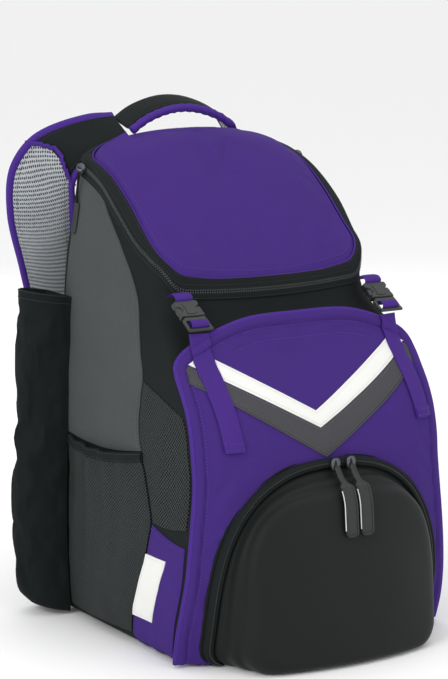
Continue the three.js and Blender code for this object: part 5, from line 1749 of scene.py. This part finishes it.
strapRows = [([0.51, 0.02, -0.012], [0.51, 0.4, 0.03]), ([0.75, 0.14, -0.05], [0.72, 0.48, 0.026]),
             ([0.93, 0.24, -0.1], [1.18, 0.6, -0.014]), ([0.9, 0.34, -0.15], [1.38, 0.64, -0.075]),
             ([0.87, 0.4, -0.21], [1.42, 0.63, -0.17]), ([0.83, 0.47, -0.3], [1.33, 0.58, -0.29]),
             ([0.82, 0.42, -0.42], [1.24, 0.5, -0.42]), ([0.83, 0.35, -0.55], [1.2, 0.38, -0.55]),
             ([0.86, 0.28, -0.66], [1.17, 0.3, -0.66])]
fallenRows = [([0.51, 0.0, 0.0], [0.51, 0.4, 0.022]), ([0.6, 0.12, -0.028], [0.66, 0.46, -0.022]),
              ([0.68, 0.28, -0.085], [0.92, 0.58, -0.085]), ([0.73, 0.38, -0.15], [1.15, 0.58, -0.15]),
              ([0.76, 0.42, -0.22], [1.26, 0.56, -0.22]), ([0.78, 0.42, -0.31], [1.27, 0.54, -0.31]),
              ([0.79, 0.38, -0.42], [1.23, 0.48, -0.42]), ([0.81, 0.33, -0.55], [1.19, 0.37, -0.55]),
              ([0.84, 0.28, -0.66], [1.15, 0.3, -0.66])]


def shoulderLines(side, rows):
    span = handle["half"] * 2
    return [[np.array([side * (row[k][0] * span + 1.0), handle["front"] + row[k][1] * 100,
                       handle["foot"] + row[k][2] * form["lidTop"]]) for row in rows] for k in (0, 1)]


def turnRow(across):
    # Where the pad's cloth side ends and its net side begins, as a row of its mesh: an arch across the strap.
    return 31.0 - 6.0 * math.sin(math.pi * across)


def makeShoulder(side, word, rows):
    # A padded strap: black cloth outside, pale net inside, purple tape round both long edges.
    front, rear = shoulderLines(side, rows)

    def thick(t):
        return mix(5.0, 9.6, smooth(t * 4)) * mix(1.0, 0.75, smooth((t - 0.9) * 10))
    top, under = curvedBand(front, rear, thick, 110, 20)
    if side < 0:
        top, under = under, top
    normals = normalsOf(top, None)
    facing = np.sign(np.sum(normals * (top - under)))
    normals = normals * facing
    calm = np.sin(np.linspace(0, math.pi, 21))[None, :] * np.ones((111, 1))
    top = ruffle(top, normals, 0.8, 38.0, 21.0 + side, (1, 1, 1), calm)
    places, faces, grain, numbers = sheetPart(top, under)
    span = len(top) * top.shape[1]
    for number, face in enumerate(faces):
        across = (face[0] % top.shape[1]) / 20
        turned = (face[0] % span) // top.shape[1] > turnRow(across)
        onTop = max(face) < span
        numbers[number] = 1 if turned == onTop else 0
    piece = makePiece("shoulder_pad_" + word, [(places, faces, grain, numbers)], ["blackCloth", "spacerNet"],
                      ["strap_pad_" + word])
    crossing = []
    for k in range(21):
        row = int(round(turnRow(k / 20)))
        crossing.append(top[row, k] + normals[row, k] * 0.6)
    parts, seams = [tubePart(crossing, 3.6, 0, 10, 0.5)], []
    for line, column in ((front, 1), (rear, 19)):
        curve = np.array([curveThrough(line, t) for t in np.linspace(0, 1, 111)])
        thickness = np.array([thick(t) for t in np.linspace(0, 1, 111)])
        lifts = normals[:, column]
        inwards = (top[:, 10] + under[:, 10]) / 2 - curve
        inwards /= np.linalg.norm(inwards, axis=1)[:, None]
        ring = []
        for i in range(111):
            high = thickness[i] / 2 * 0.98 + 0.5
            ring.append([curve[i] + inwards[i] * (3.6 + 4.6 * math.cos(a)) + lifts[i] * high * math.sin(a)
                         for a in np.linspace(0, 2 * math.pi, 15)[:-1]])
        parts.append(ringsPart(ring))
        seams.append((top[:, column + (2 if column == 1 else -2)] + lifts * 0.3, lifts))
    makePiece("shoulder_tape_" + word, parts, ["highlitPurpleEdge"])
    makeRow("shoulder_stitches_" + word, seams, 3.4, (2.4, 0.65, 0.5), "blackThread")


def makeTail(side, word):
    low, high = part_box("strap_tail_" + word)
    x = (low[0] + high[0]) * 500
    top, foot = high[2] * 1000, low[2] * 1000
    startY, endY = high[1] * 1000 - middleY - 1, low[1] * 1000 - middleY + 1.2
    lines = [[(x - side * 4 + side * 8 * t + o, mix(startY, endY, t ** 1.5), mix(top, foot, t))
              for t in np.linspace(0, 1, 7)] for o in (-10, 10)]
    front, back = curvedBand(lines[0], lines[1], 1.7, 30, 8)
    slider = []
    for at in (0.04, 0.1, 0.16):
        place = curveThrough(lines[0], at), curveThrough(lines[1], at)
        bar = [mix(place[0] - np.array([3, 0, 0]), place[1] + np.array([3, 0, 0]), t)
               for t in np.linspace(0, 1, 7)]
        slider.append(tubePart(np.array(bar) + np.array([0, 1.6, 0]), 1.8, 1, 8))
    for edge in (0, 1):
        cheek = [curveThrough(lines[edge], t) + np.array([(-3, 3)[edge], 1.6, 0])
                 for t in np.linspace(0.04, 0.16, 5)]
        slider.append(tubePart(cheek, 2.0, 1, 8))
    makePiece("tail_webbing_" + word, [sheetPart(front, back)] + slider, ["blackWebbing", "plastic"],
              ["strap_tail_" + word], 60)


board = {"half": 118.0, "narrow": 0.84, "corner": 24.0, "pad": 10.6}


def makeBack():
    # The padded back: a board of net over foam, with channels pressed into it and a cloth border.
    low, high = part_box("back_panel")
    zLow, zHigh = low[2] * 1000, high[2] * 1000
    start = low[1] * 1000 - middleY

    def half(z):
        return board["half"] * mix(1.0, board["narrow"], smooth(z / form["lidTop"]))

    def placeX(u, z):
        near, corner = min(z - zLow, zHigh - z), board["corner"]
        cut = corner - math.sqrt(max(0.0, corner ** 2 - (corner - near) ** 2)) if near < corner else 0.0
        return u * half(z) * (1 - cut / half(z))
    front, back = [], []
    rows, columns = 110, 64
    for j in range(rows + 1):
        v = j / rows
        for i in range(columns + 1):
            u = 2 * i / columns - 1
            z = mix(zLow, zHigh, v)
            x = placeX(u, z)
            edge = min((1 - abs(u)) * half(z), min(z - zLow, zHigh - z) + 0.01)
            pad = board["pad"] * (1 - math.exp(-max(0.0, edge) / 5.0))
            for channel in (-0.36, 0.36):
                pad -= 4.0 * math.exp(-((x / board["half"] - channel) / 0.045) ** 2) * smooth(edge / 16)
            for channel in (0.34, 0.66):
                pad -= 3.2 * math.exp(-((v - channel) / 0.018) ** 2) * smooth(edge / 16)
            front.append((x, start + max(1.0, pad), z))
            back.append((x, start, z))
    shape = (rows + 1, columns + 1, 3)
    part = sheetPart(np.array(front).reshape(shape), np.array(back).reshape(shape))
    piece = makePiece("back_pad", [part], ["backNet"], ["back_panel"])
    rim = []
    path = [(-1, zLow), (1, zLow), (1, zHigh), (-1, zHigh), (-1, zLow)]
    for t in np.linspace(0, 4, 200, endpoint=False):
        a, b = path[int(t)], path[int(t) + 1]
        u, z = mix(a[0], b[0], t % 1), mix(a[1], b[1], t % 1)
        rim.append((placeX(u, z), start + 2.6, z))
    makePiece("back_piping", [tubePart(rim, 2.4, 0, 8, closed=True)], ["blackCloth"])


makeHandle()
makeShoulder(-1, "left", strapRows)
makeShoulder(1, "right", fallenRows)
makeTail(-1, "left")
makeTail(1, "right")
makeBack()
print("straps and back done")
